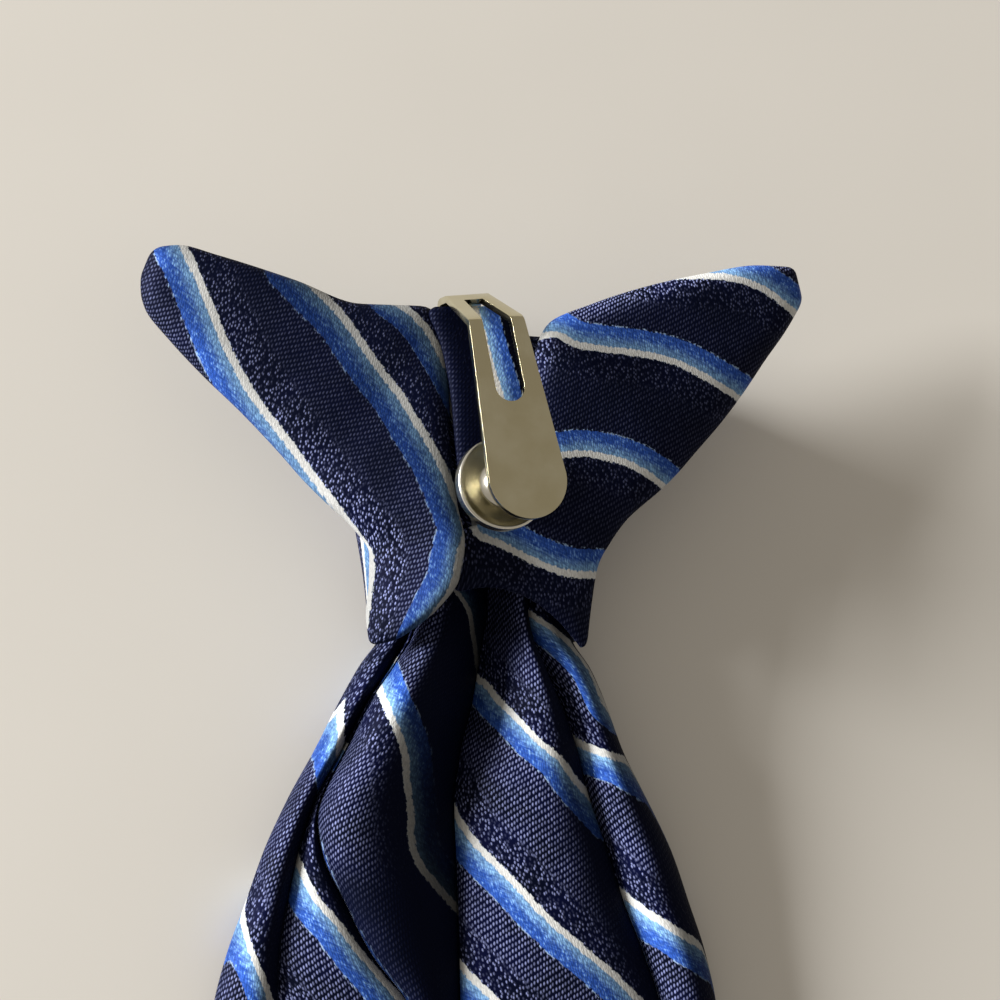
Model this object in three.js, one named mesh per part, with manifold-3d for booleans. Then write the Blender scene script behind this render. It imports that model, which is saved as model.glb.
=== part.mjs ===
// A pre-tied clip-on necktie, lying face down with the clip on its back up.
// Millimetres. +Z points up out of the back, +Y to the top of the knot, and +X to the right wing.
// While the pieces are made, y = 0 is the neck, where the blade leaves the knot, x = 0 is the
// middle of the neck and z = 0 is the surface under the tie.
import * as THREE from "three";
import { mergeVertices } from "three/addons/utils/BufferGeometryUtils.js";
import Module from "manifold-3d";

const wasm = await Module();
wasm.setup();

// Driving sizes of the whole tie
const OVERALL_LENGTH = 406;
const WING_SPAN = 88.8;
const WING_RISE = 52.6;
const WING_PAD = 5.4;
const PAD_BELOW = 0.42;
const PAD_LEAST = 0.45;

// Knot
const NECK_WIDTH = 28.8;
const KNOT_TOP_WIDTH = 50;
const KNOT_HEIGHT = 42;
const KNOT_DEPTH = 15;
const KNOT_WALL = 2;
const KNOT_SQUARENESS = 3;
const KNOT_FLARE = 1.7;
const MOUTH_RISE = 9;

// Blade
const BLADE_WIDTH = 76;
const BLADE_THICKNESS = 4;
const TIP_HEIGHT = 38;
const POINT_WIDTH = 1.2;
const GATHER_BULGE = 1;
const GATHER_LENGTH = 130;
const LAYER_THICKNESS = 7;
const ROLL_ROUNDNESS = 0.55;
const GROOVE_SHARE = 0.7;
const FLAP_STEP = 1.1;
const FLAP_LEAN = 0.25;

// Centre band under the clip
const BAND_THICKNESS = 2;

// Clip
const CLIP_TURN = THREE.MathUtils.degToRad(11);
const CLIP_LEAN = THREE.MathUtils.degToRad(10);
const CLIP_X = 1.3;
const CLIP_RISE = 0.3574;
const LEAN_ROOM = 1.1;
const SHEET = 0.9;
const TONGUE_END_RADIUS = 5.2;
const TONGUE_LENGTH = 20.6;
const CREASE_WIDTH = 7.5;
const HOOK_WIDTH = 5.9;
const HOOK_RUN = 5.8;
const SLOT_WIDTH = 3.9;
const SLOT_TOP_WIDTH = 2.6;
const SLOT_START = 9.9;
const LEG_WIDTH = 5.4;
const LEG_END = 2.9;
const LEG_WAIST = 4;
const BEND_RADIUS = 1.1;
const GRIP_GAP = 4.2;

// Button
const BUTTON_DIAMETER = 12;
const BUTTON_THICKNESS = 1.8;
const BUTTON_RIM = 1;
const BUTTON_DISH = 0.7;
const BUTTON_STAND = 1.8;
const BUTTON_ASIDE = -1.2;
const BUTTON_ALONG = 0.7;
const POST_DIAMETER = 3;
const STUD_DIAMETER = 2.6;

// Clearances between pieces
const LAY_GAP = 0.4;
const PIN_GAP = 0.3;
const SIDE_GAP = 0.9;

// Fineness of the faceted surfaces
const WING_STEPS = 26;
const BAND_STEPS = 14;
const PAD_POINTS = 12;
const ROLL_POINTS = 6;
const SLEEVE_SIDES = 32;
const ROUND_SIDES = 28;
const GATHER_STEPS = 30;
const PLAIN_STEPS = 6;
const TIP_STEPS = 6;
const STATION_EASE = 1.4;

const NAVY = 0x141a33;
const NICKEL = 0xb9b4a6;

// A table's rows as objects with the named columns and their own row number
function table(columns, rows) {
  return rows.map((values, row) => {
    const entries = columns.map((column, i) => [column, values[i]]);
    return { row, ...Object.fromEntries(entries) };
  });
}

// Smooth value of one column at a place between the rows, without overshoot
function along(rows, key, column, at) {
  const last = rows.length - 1;
  let i = 0;
  while (i < last - 1 && at > rows[i + 1][key]) {
    i += 1;
  }
  const rise = (k) =>
    (rows[k + 1][column] - rows[k][column]) / (rows[k + 1][key] - rows[k][key]);
  const tangent = (k) => {
    if (k === 0) {
      return rise(0);
    }
    if (k === last) {
      return rise(last - 1);
    }
    const before = rise(k - 1);
    const after = rise(k);
    return before * after <= 0 ? 0 : (2 * before * after) / (before + after);
  };
  const span = rows[i + 1][key] - rows[i][key];
  const t = THREE.MathUtils.clamp((at - rows[i][key]) / span, 0, 1);
  const t2 = t * t;
  const t3 = t2 * t;
  return (
    (2 * t3 - 3 * t2 + 1) * rows[i][column] +
    (t3 - 2 * t2 + t) * span * tangent(i) +
    (3 * t2 - 2 * t3) * rows[i + 1][column] +
    (t3 - t2) * span * tangent(i + 1)
  );
}

// Geometry from corners and triangles, turned so that its faces point out
function solid(points, triangles) {
  let volume = 0;
  for (const [a, b, c] of triangles) {
    const cross = new THREE.Vector3().crossVectors(points[b], points[c]);
    volume += points[a].dot(cross);
  }
  const index = triangles.flatMap(([a, b, c]) =>
    volume < 0 ? [a, c, b] : [a, b, c],
  );
  const geometry = new THREE.BufferGeometry().setFromPoints(points);
  geometry.setIndex(index);
  geometry.computeVertexNormals();
  return geometry;
}

// Triangles of the quads between successive rings of equal length
function ringWalls(rings, count, closed) {
  const triangles = [];
  for (let i = 0; i < (closed ? rings : rings - 1); i += 1) {
    for (let j = 0; j < count; j += 1) {
      const a = i * count + j;
      const b = i * count + ((j + 1) % count);
      const c = ((i + 1) % rings) * count + j;
      const d = ((i + 1) % rings) * count + ((j + 1) % count);
      triangles.push([a, b, c], [b, d, c]);
    }
  }
  return triangles;
}

// Closed body through rings that each hold an upper row of points and a lower row back
function layeredBody(rings, acrossSteps) {
  const count = acrossSteps * 2;
  const triangles = ringWalls(rings.length, count, false);
  for (const [start, flip] of [
    [0, true],
    [(rings.length - 1) * count, false],
  ]) {
    for (let k = 0; k < acrossSteps; k += 1) {
      const upper = start + k;
      const upperNext = start + k + 1;
      const lower = start + ((count - k) % count);
      const lowerNext = start + count - k - 1;
      const faces = [];
      if (k > 0) {
        faces.push([upper, upperNext, lower]);
      }
      if (k < acrossSteps - 1 || k === 0) {
        faces.push([k > 0 ? lower : upper, upperNext, lowerNext]);
      }
      for (const [a, b, c] of faces) {
        triangles.push(flip ? [a, c, b] : [a, b, c]);
      }
    }
  }
  return solid(rings.flat(), triangles);
}

// Knot sleeve
function knotHalfWidth(y) {
  const share = THREE.MathUtils.clamp(y / KNOT_HEIGHT, 0, 1);
  const eased = share ** KNOT_FLARE;
  return THREE.MathUtils.lerp(NECK_WIDTH / 2, KNOT_TOP_WIDTH / 2, eased);
}

function knotBack(x, y) {
  const share = Math.min(Math.abs(x) / knotHalfWidth(y), 1);
  const arch = (1 - share ** KNOT_SQUARENESS) ** (1 / KNOT_SQUARENESS);
  return (KNOT_DEPTH / 2) * (1 + arch);
}

// Places up the sleeve and how far its rolled lips draw in there, in shares of the wall
const SLEEVE = table(
  ["up", "lip"],
  [
    [0.04, 0.45],
    [0.055, 0.12],
    [0.085, 0],
    [0.14, 0],
    [0.28, 0],
    [0.42, 0],
    [0.56, 0],
    [0.7, 0],
    [0.84, 0],
    [0.96, 0],
    [0.99, 0.12],
    [1, 0.45],
  ],
);

// How far the back of the sleeve's mouth draws up over the gathered blade
function mouthRise(up, s) {
  return s > 0 ? MOUTH_RISE * s ** 2 * (1 - THREE.MathUtils.clamp(up, 0, 1)) ** 3 : 0;
}

function makeKnotWrap() {
  const points = [];
  const faces = [...SLEEVE, ...[...SLEEVE].reverse()];
  faces.forEach((row, k) => {
    const outside = k < SLEEVE.length;
    const y = row.up * KNOT_HEIGHT;
    const draw = KNOT_WALL * (outside ? row.lip : 1 - row.lip);
    const wide = knotHalfWidth(y) - draw;
    const deep = KNOT_DEPTH / 2 - draw;
    for (let j = 0; j < SLEEVE_SIDES; j += 1) {
      const angle = (2 * Math.PI * j) / SLEEVE_SIDES;
      const c = Math.cos(angle);
      const s = Math.sin(angle);
      const power = 2 / KNOT_SQUARENESS;
      const x = Math.sign(c) * Math.abs(c) ** power * wide;
      const z = Math.sign(s) * Math.abs(s) ** power * deep;
      points.push(new THREE.Vector3(x, y + mouthRise(row.up, s), KNOT_DEPTH / 2 + z));
    }
  });
  return solid(points, ringWalls(faces.length, SLEEVE_SIDES, true));
}

// Wings: x in half spans, y in rises, z in knot depths; pad and bow in shares of the pad and rise
const WING_COLUMNS = ["outX", "outY", "outZ", "inX", "inY", "inZ", "pad", "bow"];

const LEFT_WING = table(WING_COLUMNS, [
  [-1.021, 0.868, 0.98, -0.985, 0.944, 1.02, 0.42, 0],
  [-1.002, 0.81, 0.98, -0.915, 0.954, 1.06, 0.74, 0],
  [-0.934, 0.732, 0.97, -0.8, 0.932, 1.1, 0.88, 0],
  [-0.838, 0.646, 0.96, -0.585, 0.875, 1.14, 0.98, 0],
  [-0.725, 0.553, 0.97, -0.39, 0.818, 1.16, 1, 0],
  [-0.62, 0.457, 1, -0.212, 0.815, 1.18, 1, 0],
  [-0.54, 0.388, 1.02, -0.13, 0.74, 1.16, 0.98, 0],
  [-0.472, 0.332, 1.04, -0.122, 0.49, 1.2, 0.98, 0],
  [-0.405, 0.283, 1.02, -0.106, 0.33, 1.28, 0.96, 0],
  [-0.345, 0.215, 0.96, -0.086, 0.232, 1.33, 0.92, 0],
  [-0.344, 0.146, 0.92, -0.098, 0.148, 1.3, 0.86, 0],
  [-0.35, 0.072, 0.9, -0.16, 0.07, 1.22, 0.76, 0],
  [-0.34, 0.01, 0.92, -0.262, 0.006, 1.06, 0.5, 0],
]);

const RIGHT_WING = table(WING_COLUMNS, [
  [0.978, 0.922, 0.98, 0.93, 1, 1.02, 0.42, 0],
  [0.932, 0.84, 0.98, 0.81, 0.992, 1.06, 0.76, 0],
  [0.866, 0.762, 0.97, 0.65, 0.956, 1.1, 0.9, 0],
  [0.802, 0.684, 0.96, 0.48, 0.917, 1.13, 1, 0],
  [0.72, 0.592, 0.97, 0.31, 0.86, 1.15, 1, 0],
  [0.642, 0.506, 0.99, 0.168, 0.806, 1.16, 0.98, 0],
  [0.576, 0.442, 1, 0.124, 0.7, 1.16, 0.9, 0],
  [0.52, 0.396, 1, 0.108, 0.56, 1.17, 0.8, 0],
  [0.47, 0.36, 0.99, 0.102, 0.43, 1.17, 0.72, 0],
  [0.425, 0.324, 0.97, 0.066, 0.32, 1.16, 0.66, 0],
  [0.375, 0.265, 0.95, -0.08, 0.274, 1.1, 0.62, 0],
  [0.338, 0.205, 0.93, -0.105, 0.22, 1.09, 0.6, 0.01],
  [0.318, 0.13, 0.92, -0.11, 0.165, 1.09, 0.6, 0.035],
  [0.296, 0.03, 0.92, -0.1, 0.118, 1.09, 0.56, 0.07],
]);

// Share of the full pad thickness at a share of the way across
function padFullness(across) {
  return Math.sqrt(1 - (2 * across - 1) ** 4);
}

// A pad of cloth between two edge lines, lying on what is under it
function makePad(rows, steps, shape) {
  const rings = [];
  for (let i = 0; i <= steps; i += 1) {
    const at = (i * (rows.length - 1)) / steps;
    const value = (column) => along(rows, "row", column, at);
    const upper = [];
    const lower = [];
    for (let k = 0; k <= PAD_POINTS; k += 1) {
      const across = 0.5 - 0.5 * Math.cos((Math.PI * k) / PAD_POINTS);
      const { x, y, high, low } = shape(value, across);
      upper.push(new THREE.Vector3(x, y, high));
      if (k > 0 && k < PAD_POINTS) {
        lower.unshift(new THREE.Vector3(x, y, low));
      }
    }
    rings.push([...upper, ...lower]);
  }
  return layeredBody(rings, PAD_POINTS);
}

function wingPoint(value, across) {
  const lerp = THREE.MathUtils.lerp;
  const bulge = 4 * across * (1 - across);
  const x = (lerp(value("outX"), value("inX"), across) * WING_SPAN) / 2;
  const straightY = lerp(value("outY"), value("inY"), across);
  const y = (straightY + value("bow") * bulge) * WING_RISE;
  const level = lerp(value("outZ"), value("inZ"), across) * KNOT_DEPTH;
  const thick = WING_PAD * value("pad") * padFullness(across);
  const low = Math.max(level - PAD_BELOW * thick, knotBack(x, y) + LAY_GAP);
  const high = Math.max(level + (1 - PAD_BELOW) * thick, low + PAD_LEAST * thick);
  return { x, y, high, low };
}

// Height of the leaning plane that the band and the clip share, and the clip's place on it
const BAND_TOP = KNOT_DEPTH + LAY_GAP + SHEET + PIN_GAP + BAND_THICKNESS + LEAN_ROOM;
const CLIP_Y = CLIP_RISE * WING_RISE;

function bandPlane(x, y) {
  const aside =
    (x - CLIP_X) * Math.cos(CLIP_TURN) + (y - CLIP_Y) * Math.sin(CLIP_TURN);
  return BAND_TOP - aside * Math.tan(CLIP_LEAN);
}

// Centre band: its left and right edges, x in half spans and y in rises
const BAND = table(
  ["leftX", "leftY", "rightX", "rightY", "pad"],
  [
    [-0.19, 0.826, 0.12, 0.822, 0.72],
    [-0.182, 0.818, 0.12, 0.806, 0.94],
    [-0.112, 0.752, 0.104, 0.73, 1],
    [-0.102, 0.6, 0.088, 0.58, 1],
    [-0.1, 0.46, 0.08, 0.45, 1],
    [-0.092, 0.36, 0.074, 0.365, 0.94],
    [-0.066, 0.31, 0.034, 0.312, 0.72],
  ],
);

function bandPoint(value, across) {
  const lerp = THREE.MathUtils.lerp;
  const x = (lerp(value("leftX"), value("rightX"), across) * WING_SPAN) / 2;
  const y = lerp(value("leftY"), value("rightY"), across) * WING_RISE;
  const thick = (BAND_THICKNESS * value("pad") * padFullness(across)) / 2;
  const level = bandPlane(x, y) - BAND_THICKNESS / 2;
  return { x, y, high: level + thick, low: level - thick };
}

// Blade: place down from the neck in shares of the gather, spread from the neck's inside to the
// full width, creases in shares of the half width there, heights in shares of the gather's depth
const BLADE_COLUMNS = [
  "down",
  "spread",
  "sideCrease",
  "leftCrease",
  "valley",
  "rightCrease",
  "edgeZ",
  "frontZ",
  "rollL1",
  "rollL3",
  "rollL2",
  "rollR1",
  "rollR2",
  "sideCreaseZ",
  "leftCreaseZ",
  "valleyZ",
  "rightCreaseZ",
];

const BLADE = table(BLADE_COLUMNS, [
  [-0.25, 0, -0.76, -0.7, 0.12, 0.56, 0.47, 0.165, 0.56, 0.6, 0.74, 0.74, 0.62, 0.5, 0.5, 0.42, 0.55],
  [-0.045, 0, -0.74, -0.7, 0.13, 0.56, 0.47, 0.165, 0.57, 0.62, 0.76, 0.75, 0.62, 0.5, 0.5, 0.38, 0.54],
  [-0.01, 0.061, -0.73, -0.7, 0.08, 0.54, 0.45, 0.14, 0.64, 0.66, 0.86, 0.8, 0.7, 0.5, 0.5, 0.3, 0.54],
  [0.016, 0.147, -0.74, -0.72, 0.04, 0.56, 0.44, 0.11, 0.68, 0.66, 0.94, 0.84, 0.78, 0.5, 0.5, 0.28, 0.54],
  [0.053, 0.237, -0.8, -0.785, 0, 0.62, 0.4, 0.06, 0.66, 0.64, 0.96, 0.84, 0.82, 0.5, 0.5, 0.28, 0.54],
  [0.1, 0.34, -0.83, -0.81, -0.06, 0.672, 0.34, 0.03, 0.6, 0.56, 0.88, 0.78, 0.76, 0.44, 0.46, 0.28, 0.5],
  [0.15, 0.472, -0.852, -0.825, -0.09, 0.65, 0.29, 0, 0.54, 0.5, 0.78, 0.7, 0.7, 0.38, 0.42, 0.27, 0.44],
  [0.2, 0.588, -0.838, -0.734, -0.08, 0.66, 0.25, 0, 0.49, 0.48, 0.68, 0.62, 0.63, 0.33, 0.4, 0.26, 0.38],
  [0.25, 0.673, -0.82, -0.573, -0.067, 0.68, 0.22, 0, 0.45, 0.45, 0.6, 0.56, 0.57, 0.3, 0.37, 0.26, 0.34],
  [0.3, 0.756, -0.79, -0.42, -0.055, 0.72, 0.2, 0, 0.42, 0.43, 0.53, 0.5, 0.52, 0.28, 0.34, 0.25, 0.31],
  [0.35, 0.811, -0.76, -0.25, -0.048, 0.755, 0.18, 0, 0.39, 0.41, 0.46, 0.45, 0.48, 0.27, 0.32, 0.25, 0.29],
  [0.45, 0.864, -0.76, -0.12, -0.035, 0.77, 0.16, 0, 0.35, 0.36, 0.36, 0.38, 0.41, 0.26, 0.29, 0.25, 0.27],
  [0.65, 0.9, -0.78, -0.1, -0.01, 0.78, 0.14, 0, 0.3, 0.3, 0.29, 0.31, 0.33, 0.25, 0.25, 0.24, 0.25],
  [1, 0.921, -0.8, -0.1, 0, 0.8, 0.125, 0, 0.25, 0.25, 0.25, 0.25, 0.25, 0.25, 0.25, 0.25, 0.25],
]);

// Each roll's crest and the heights it starts and ends at, how far its crest leans to its start
// and whether a free flap edge starts it
const BLADE_ROLLS = [
  ["rollL1", "edgeZ", "sideCreaseZ", 1, false],
  ["rollL3", "sideCreaseZ", "leftCreaseZ", 1, false],
  ["rollL2", "leftCreaseZ", "valleyZ", 0.82, false],
  ["rollR1", "valleyZ", "rightCreaseZ", 0.9, true],
  ["rollR2", "rightCreaseZ", "edgeZ", 1, false],
];

// The last row's height, which is the plain blade's thickness
const FLAT_SHARE = BLADE.at(-1).rollL2;
const GATHER_DEPTH = KNOT_DEPTH + GATHER_BULGE;

function bladeHalf(down) {
  const inside = NECK_WIDTH / 2 - KNOT_WALL - SIDE_GAP;
  return THREE.MathUtils.lerp(inside, BLADE_WIDTH / 2, along(BLADE, "down", "spread", down));
}

// Section of the blade at a place in shares of the gather, narrowed to a half width
function bladeRing(down, half, y) {
  const value = (column) => along(BLADE, "down", column, down);
  const edges = [-1, value("sideCrease"), value("leftCrease"), value("valley")];
  edges.push(value("rightCrease"), 1);
  const flat = THREE.MathUtils.clamp(down, 0, 1) ** 2;
  const full = THREE.MathUtils.lerp(GATHER_DEPTH, BLADE_THICKNESS / FLAT_SHARE, flat);
  const height = (column) => value(column) * full;
  const front = height("frontZ");
  const edge = height("edgeZ");
  const upper = [];
  const lower = [];
  BLADE_ROLLS.forEach(([roll, from, to, skew, freeEdge], r) => {
    for (let k = r === 0 || freeEdge ? 0 : 1; k <= ROLL_POINTS; k += 1) {
      const t = 0.5 - 0.5 * Math.cos((Math.PI * k) / ROLL_POINTS);
      const leaning = t ** skew;
      const arch = (4 * leaning * (1 - leaning)) ** ROLL_ROUNDNESS;
      const start = height(from) + (freeEdge ? FLAP_STEP : 0);
      const end = height(to);
      const crest = height(roll) - (start + end) / 2;
      const first = edges[r] + (freeEdge ? FLAP_LEAN / half : 0);
      const across = THREE.MathUtils.lerp(first, edges[r + 1], t);
      const high = THREE.MathUtils.lerp(start, end, t) + crest * arch;
      const side = 1 - (1 - Math.abs(across) ** 3) ** (1 / 3);
      const hollow = Math.max(0, height(roll) - front - LAYER_THICKNESS) * GROOVE_SHARE;
      const low = front + (edge - front) * side + hollow * arch * (1 - side);
      upper.push(new THREE.Vector3(across * half, y, high));
      lower.unshift(new THREE.Vector3(across * half, y, low));
    }
  });
  return [...upper, ...lower.slice(1, -1)];
}

function makeBlade() {
  const rings = [];
  const first = BLADE[0].down;
  const bladeLength = OVERALL_LENGTH - WING_RISE;
  const plainEnd = bladeLength - TIP_HEIGHT;
  for (let i = 0; i <= GATHER_STEPS; i += 1) {
    const down = first + (1 - first) * (i / GATHER_STEPS) ** STATION_EASE;
    rings.push(bladeRing(down, bladeHalf(down), -down * GATHER_LENGTH));
  }
  for (let i = 1; i <= PLAIN_STEPS; i += 1) {
    const share = i / PLAIN_STEPS;
    const y = -THREE.MathUtils.lerp(GATHER_LENGTH, plainEnd, share);
    const half = THREE.MathUtils.lerp(bladeHalf(1), BLADE_WIDTH / 2, share);
    rings.push(bladeRing(1, half, y));
  }
  for (let i = 1; i <= TIP_STEPS; i += 1) {
    const share = i / TIP_STEPS;
    const half = THREE.MathUtils.lerp(BLADE_WIDTH, POINT_WIDTH, share) / 2;
    rings.push(bladeRing(1, half, -plainEnd - TIP_HEIGHT * share));
  }
  return layeredBody(rings, rings[0].length / 2);
}

// Solids for cutting and joining
function toSolid(geometry) {
  const bare = geometry.clone();
  bare.deleteAttribute("normal");
  bare.deleteAttribute("uv");
  const merged = mergeVertices(bare, 1e-4);
  return new wasm.Manifold(
    new wasm.Mesh({
      numProp: 3,
      vertProperties: merged.attributes.position.array,
      triVerts: new Uint32Array(merged.index.array),
    }),
  );
}

function toGeometry(body) {
  const mesh = body.getMesh();
  const geometry = new THREE.BufferGeometry();
  const corners = new THREE.BufferAttribute(mesh.vertProperties, mesh.numProp);
  geometry.setAttribute("position", corners);
  geometry.setIndex(new THREE.BufferAttribute(mesh.triVerts, 1));
  geometry.computeVertexNormals();
  return geometry;
}

// Prism of an outline in the plan between two heights
function prism(shape, low, high) {
  const options = { depth: high - low, bevelEnabled: false, curveSegments: 12 };
  const geometry = new THREE.ExtrudeGeometry(shape, options);
  geometry.translate(0, 0, low);
  return geometry;
}

function round(radius, low, high, x, y) {
  const height = high - low;
  const geometry = new THREE.CylinderGeometry(radius, radius, height, ROUND_SIDES);
  geometry.rotateX(Math.PI / 2);
  geometry.translate(x, y, (low + high) / 2);
  return geometry;
}

// Heights over the band's top, in the clip's own leaning frame
const BUTTON_TOP = BUTTON_STAND + BUTTON_THICKNESS;
const TONGUE_LOW = BUTTON_TOP + GRIP_GAP;
const TONGUE_MIDDLE = TONGUE_LOW + SHEET / 2;
const LEG_TOP = -BAND_THICKNESS - PIN_GAP;
const LEG_MIDDLE = LEG_TOP - SHEET / 2;
const HOOK_END = TONGUE_LENGTH + HOOK_RUN;

// A line of points with each inner corner replaced by an arc
function roundedLine(corners, radius) {
  const line = [corners[0]];
  for (let i = 1; i < corners.length - 1; i += 1) {
    const into = corners[i - 1].clone().sub(corners[i]).normalize();
    const out = corners[i + 1].clone().sub(corners[i]).normalize();
    const half = Math.acos(THREE.MathUtils.clamp(into.dot(out), -1, 1)) / 2;
    const back = radius / Math.tan(half);
    const start = corners[i].clone().addScaledVector(into, back);
    const end = corners[i].clone().addScaledVector(out, back);
    const curve = new THREE.QuadraticBezierCurve(start, corners[i], end);
    line.push(...curve.getPoints(5));
  }
  line.push(corners[corners.length - 1]);
  return line;
}

// Outline of a sheet of even thickness that follows a line
function sheetOutline(line, thickness) {
  const left = [];
  const right = [];
  line.forEach((point, i) => {
    const before = line[Math.max(i - 1, 0)];
    const after = line[Math.min(i + 1, line.length - 1)];
    const way = after.clone().sub(before).normalize();
    const aside = new THREE.Vector2(-way.y, way.x).multiplyScalar(thickness / 2);
    left.push(point.clone().add(aside));
    right.unshift(point.clone().sub(aside));
  });
  return new THREE.Shape([...left, ...right]);
}

// Plan of the outer leg: round free end, widening tongue and narrower hook, with its slot
function tonguePlan() {
  const plan = new THREE.Shape();
  const reach = HOOK_END + 2 * BEND_RADIUS + SHEET;
  plan.moveTo(TONGUE_END_RADIUS, 0);
  plan.lineTo(CREASE_WIDTH / 2, TONGUE_LENGTH);
  plan.lineTo(HOOK_WIDTH / 2, HOOK_END);
  plan.lineTo(HOOK_WIDTH / 2, reach);
  plan.lineTo(-HOOK_WIDTH / 2, reach);
  plan.lineTo(-HOOK_WIDTH / 2, HOOK_END);
  plan.lineTo(-CREASE_WIDTH / 2, TONGUE_LENGTH);
  plan.lineTo(-TONGUE_END_RADIUS, 0);
  plan.absarc(0, 0, TONGUE_END_RADIUS, Math.PI, 2 * Math.PI, false);
  const slot = new THREE.Path();
  const slotRadius = SLOT_WIDTH / 2;
  slot.moveTo(slotRadius, SLOT_START + slotRadius);
  slot.absarc(0, SLOT_START + slotRadius, slotRadius, 0, -Math.PI, true);
  slot.lineTo(-SLOT_WIDTH / 2, TONGUE_LENGTH);
  slot.lineTo(-SLOT_TOP_WIDTH / 2, HOOK_END - SHEET);
  slot.lineTo(SLOT_TOP_WIDTH / 2, HOOK_END - SHEET);
  slot.lineTo(SLOT_WIDTH / 2, TONGUE_LENGTH);
  plan.holes.push(slot);
  return plan;
}

// Plan of the hidden inner leg, which shifts aside to the post
function legPlan() {
  const plan = new THREE.Shape();
  const reach = HOOK_END + 2 * BEND_RADIUS + SHEET;
  const half = LEG_WIDTH / 2;
  plan.moveTo(BUTTON_ASIDE + half, BUTTON_ALONG);
  plan.lineTo(LEG_WAIST / 2, TONGUE_LENGTH);
  plan.lineTo(HOOK_WIDTH / 2, HOOK_END);
  plan.lineTo(HOOK_WIDTH / 2, reach);
  plan.lineTo(-HOOK_WIDTH / 2, reach);
  plan.lineTo(-HOOK_WIDTH / 2, HOOK_END);
  plan.lineTo(-LEG_WAIST / 2, TONGUE_LENGTH);
  plan.lineTo(BUTTON_ASIDE - half, BUTTON_ALONG);
  plan.lineTo(BUTTON_ASIDE - half, BUTTON_ALONG - LEG_END + half);
  plan.absarc(BUTTON_ASIDE, BUTTON_ALONG - LEG_END + half, half, Math.PI, 2 * Math.PI, false);
  return plan;
}

function makeClipSpring() {
  const corners = [
    new THREE.Vector2(-TONGUE_END_RADIUS, TONGUE_MIDDLE),
    new THREE.Vector2(TONGUE_LENGTH, TONGUE_MIDDLE),
    new THREE.Vector2(HOOK_END, LEG_MIDDLE + 3 * BEND_RADIUS),
    new THREE.Vector2(HOOK_END + 0.6 * BEND_RADIUS, LEG_MIDDLE),
    new THREE.Vector2(BUTTON_ALONG - LEG_END, LEG_MIDDLE),
  ];
  const outline = sheetOutline(roundedLine(corners, BEND_RADIUS), SHEET);
  const width = 2 * TONGUE_END_RADIUS + 4;
  const strip = prism(outline, -width / 2, width / 2);
  const turn = new THREE.Matrix4().makeBasis(
    new THREE.Vector3(0, 1, 0),
    new THREE.Vector3(0, 0, 1),
    new THREE.Vector3(1, 0, 0),
  );
  strip.applyMatrix4(turn);
  const split = LEG_MIDDLE + 2 * BEND_RADIUS;
  const outer = toSolid(prism(tonguePlan(), split, TONGUE_LOW + 2 * SHEET));
  const inner = toSolid(prism(legPlan(), LEG_TOP - 2 * SHEET, split + SHEET / 2));
  const holeRadius = POST_DIAMETER / 2 + PIN_GAP;
  const hole = round(holeRadius, LEG_TOP - 2 * SHEET, LEG_TOP + SHEET, BUTTON_ASIDE, BUTTON_ALONG);
  const body = toSolid(strip).intersect(outer.add(inner)).subtract(toSolid(hole));
  return toGeometry(body);
}

// Button: dished disc with a low stud in its middle, on a post through the band to the leg
function makeClipButton() {
  const radius = BUTTON_DIAMETER / 2;
  const rise = BUTTON_TOP - BUTTON_DISH;
  const profile = [
    [0, LEG_TOP - SHEET],
    [POST_DIAMETER / 2, LEG_TOP - SHEET],
    [POST_DIAMETER / 2, BUTTON_STAND],
    [radius - 0.4 * BUTTON_RIM, BUTTON_STAND],
    [radius, BUTTON_STAND + 0.4 * BUTTON_RIM],
    [radius, BUTTON_TOP - 0.4 * BUTTON_RIM],
    [radius - 0.4 * BUTTON_RIM, BUTTON_TOP],
    [radius - BUTTON_RIM, BUTTON_TOP],
    [radius - 2 * BUTTON_RIM, rise],
    [STUD_DIAMETER / 2 + 0.3, rise],
    [STUD_DIAMETER / 2, rise + 0.9 * BUTTON_DISH],
    [0, rise + 1.2 * BUTTON_DISH],
  ];
  const points = profile.map(([r, z]) => new THREE.Vector2(r, z));
  const geometry = new THREE.LatheGeometry(points, ROUND_SIDES);
  geometry.rotateX(Math.PI / 2);
  geometry.translate(BUTTON_ASIDE, BUTTON_ALONG, 0);
  return geometry;
}

// Place and turn of the clip's frame, which leans on the band
const clipFrame = new THREE.Group();
clipFrame.position.set(CLIP_X, CLIP_Y, BAND_TOP);
clipFrame.rotation.set(0, CLIP_LEAN, CLIP_TURN, "ZYX");
clipFrame.updateMatrix();

function makeCentreBand() {
  const pad = toSolid(makePad(BAND, BAND_STEPS, bandPoint));
  const holeRadius = POST_DIAMETER / 2 + PIN_GAP;
  const hole = round(holeRadius, LEG_TOP, BUTTON_STAND, BUTTON_ASIDE, BUTTON_ALONG);
  hole.applyMatrix4(clipFrame.matrix);
  return toGeometry(pad.subtract(toSolid(hole)));
}

// Each piece has a material of its own
const cloth = () => new THREE.MeshStandardMaterial({ color: NAVY, roughness: 0.75 });
const nickel = () =>
  new THREE.MeshStandardMaterial({ color: NICKEL, roughness: 0.25, metalness: 1 });

function named(name, geometry, material) {
  const mesh = new THREE.Mesh(geometry, material);
  mesh.name = name;
  return mesh;
}

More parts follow.
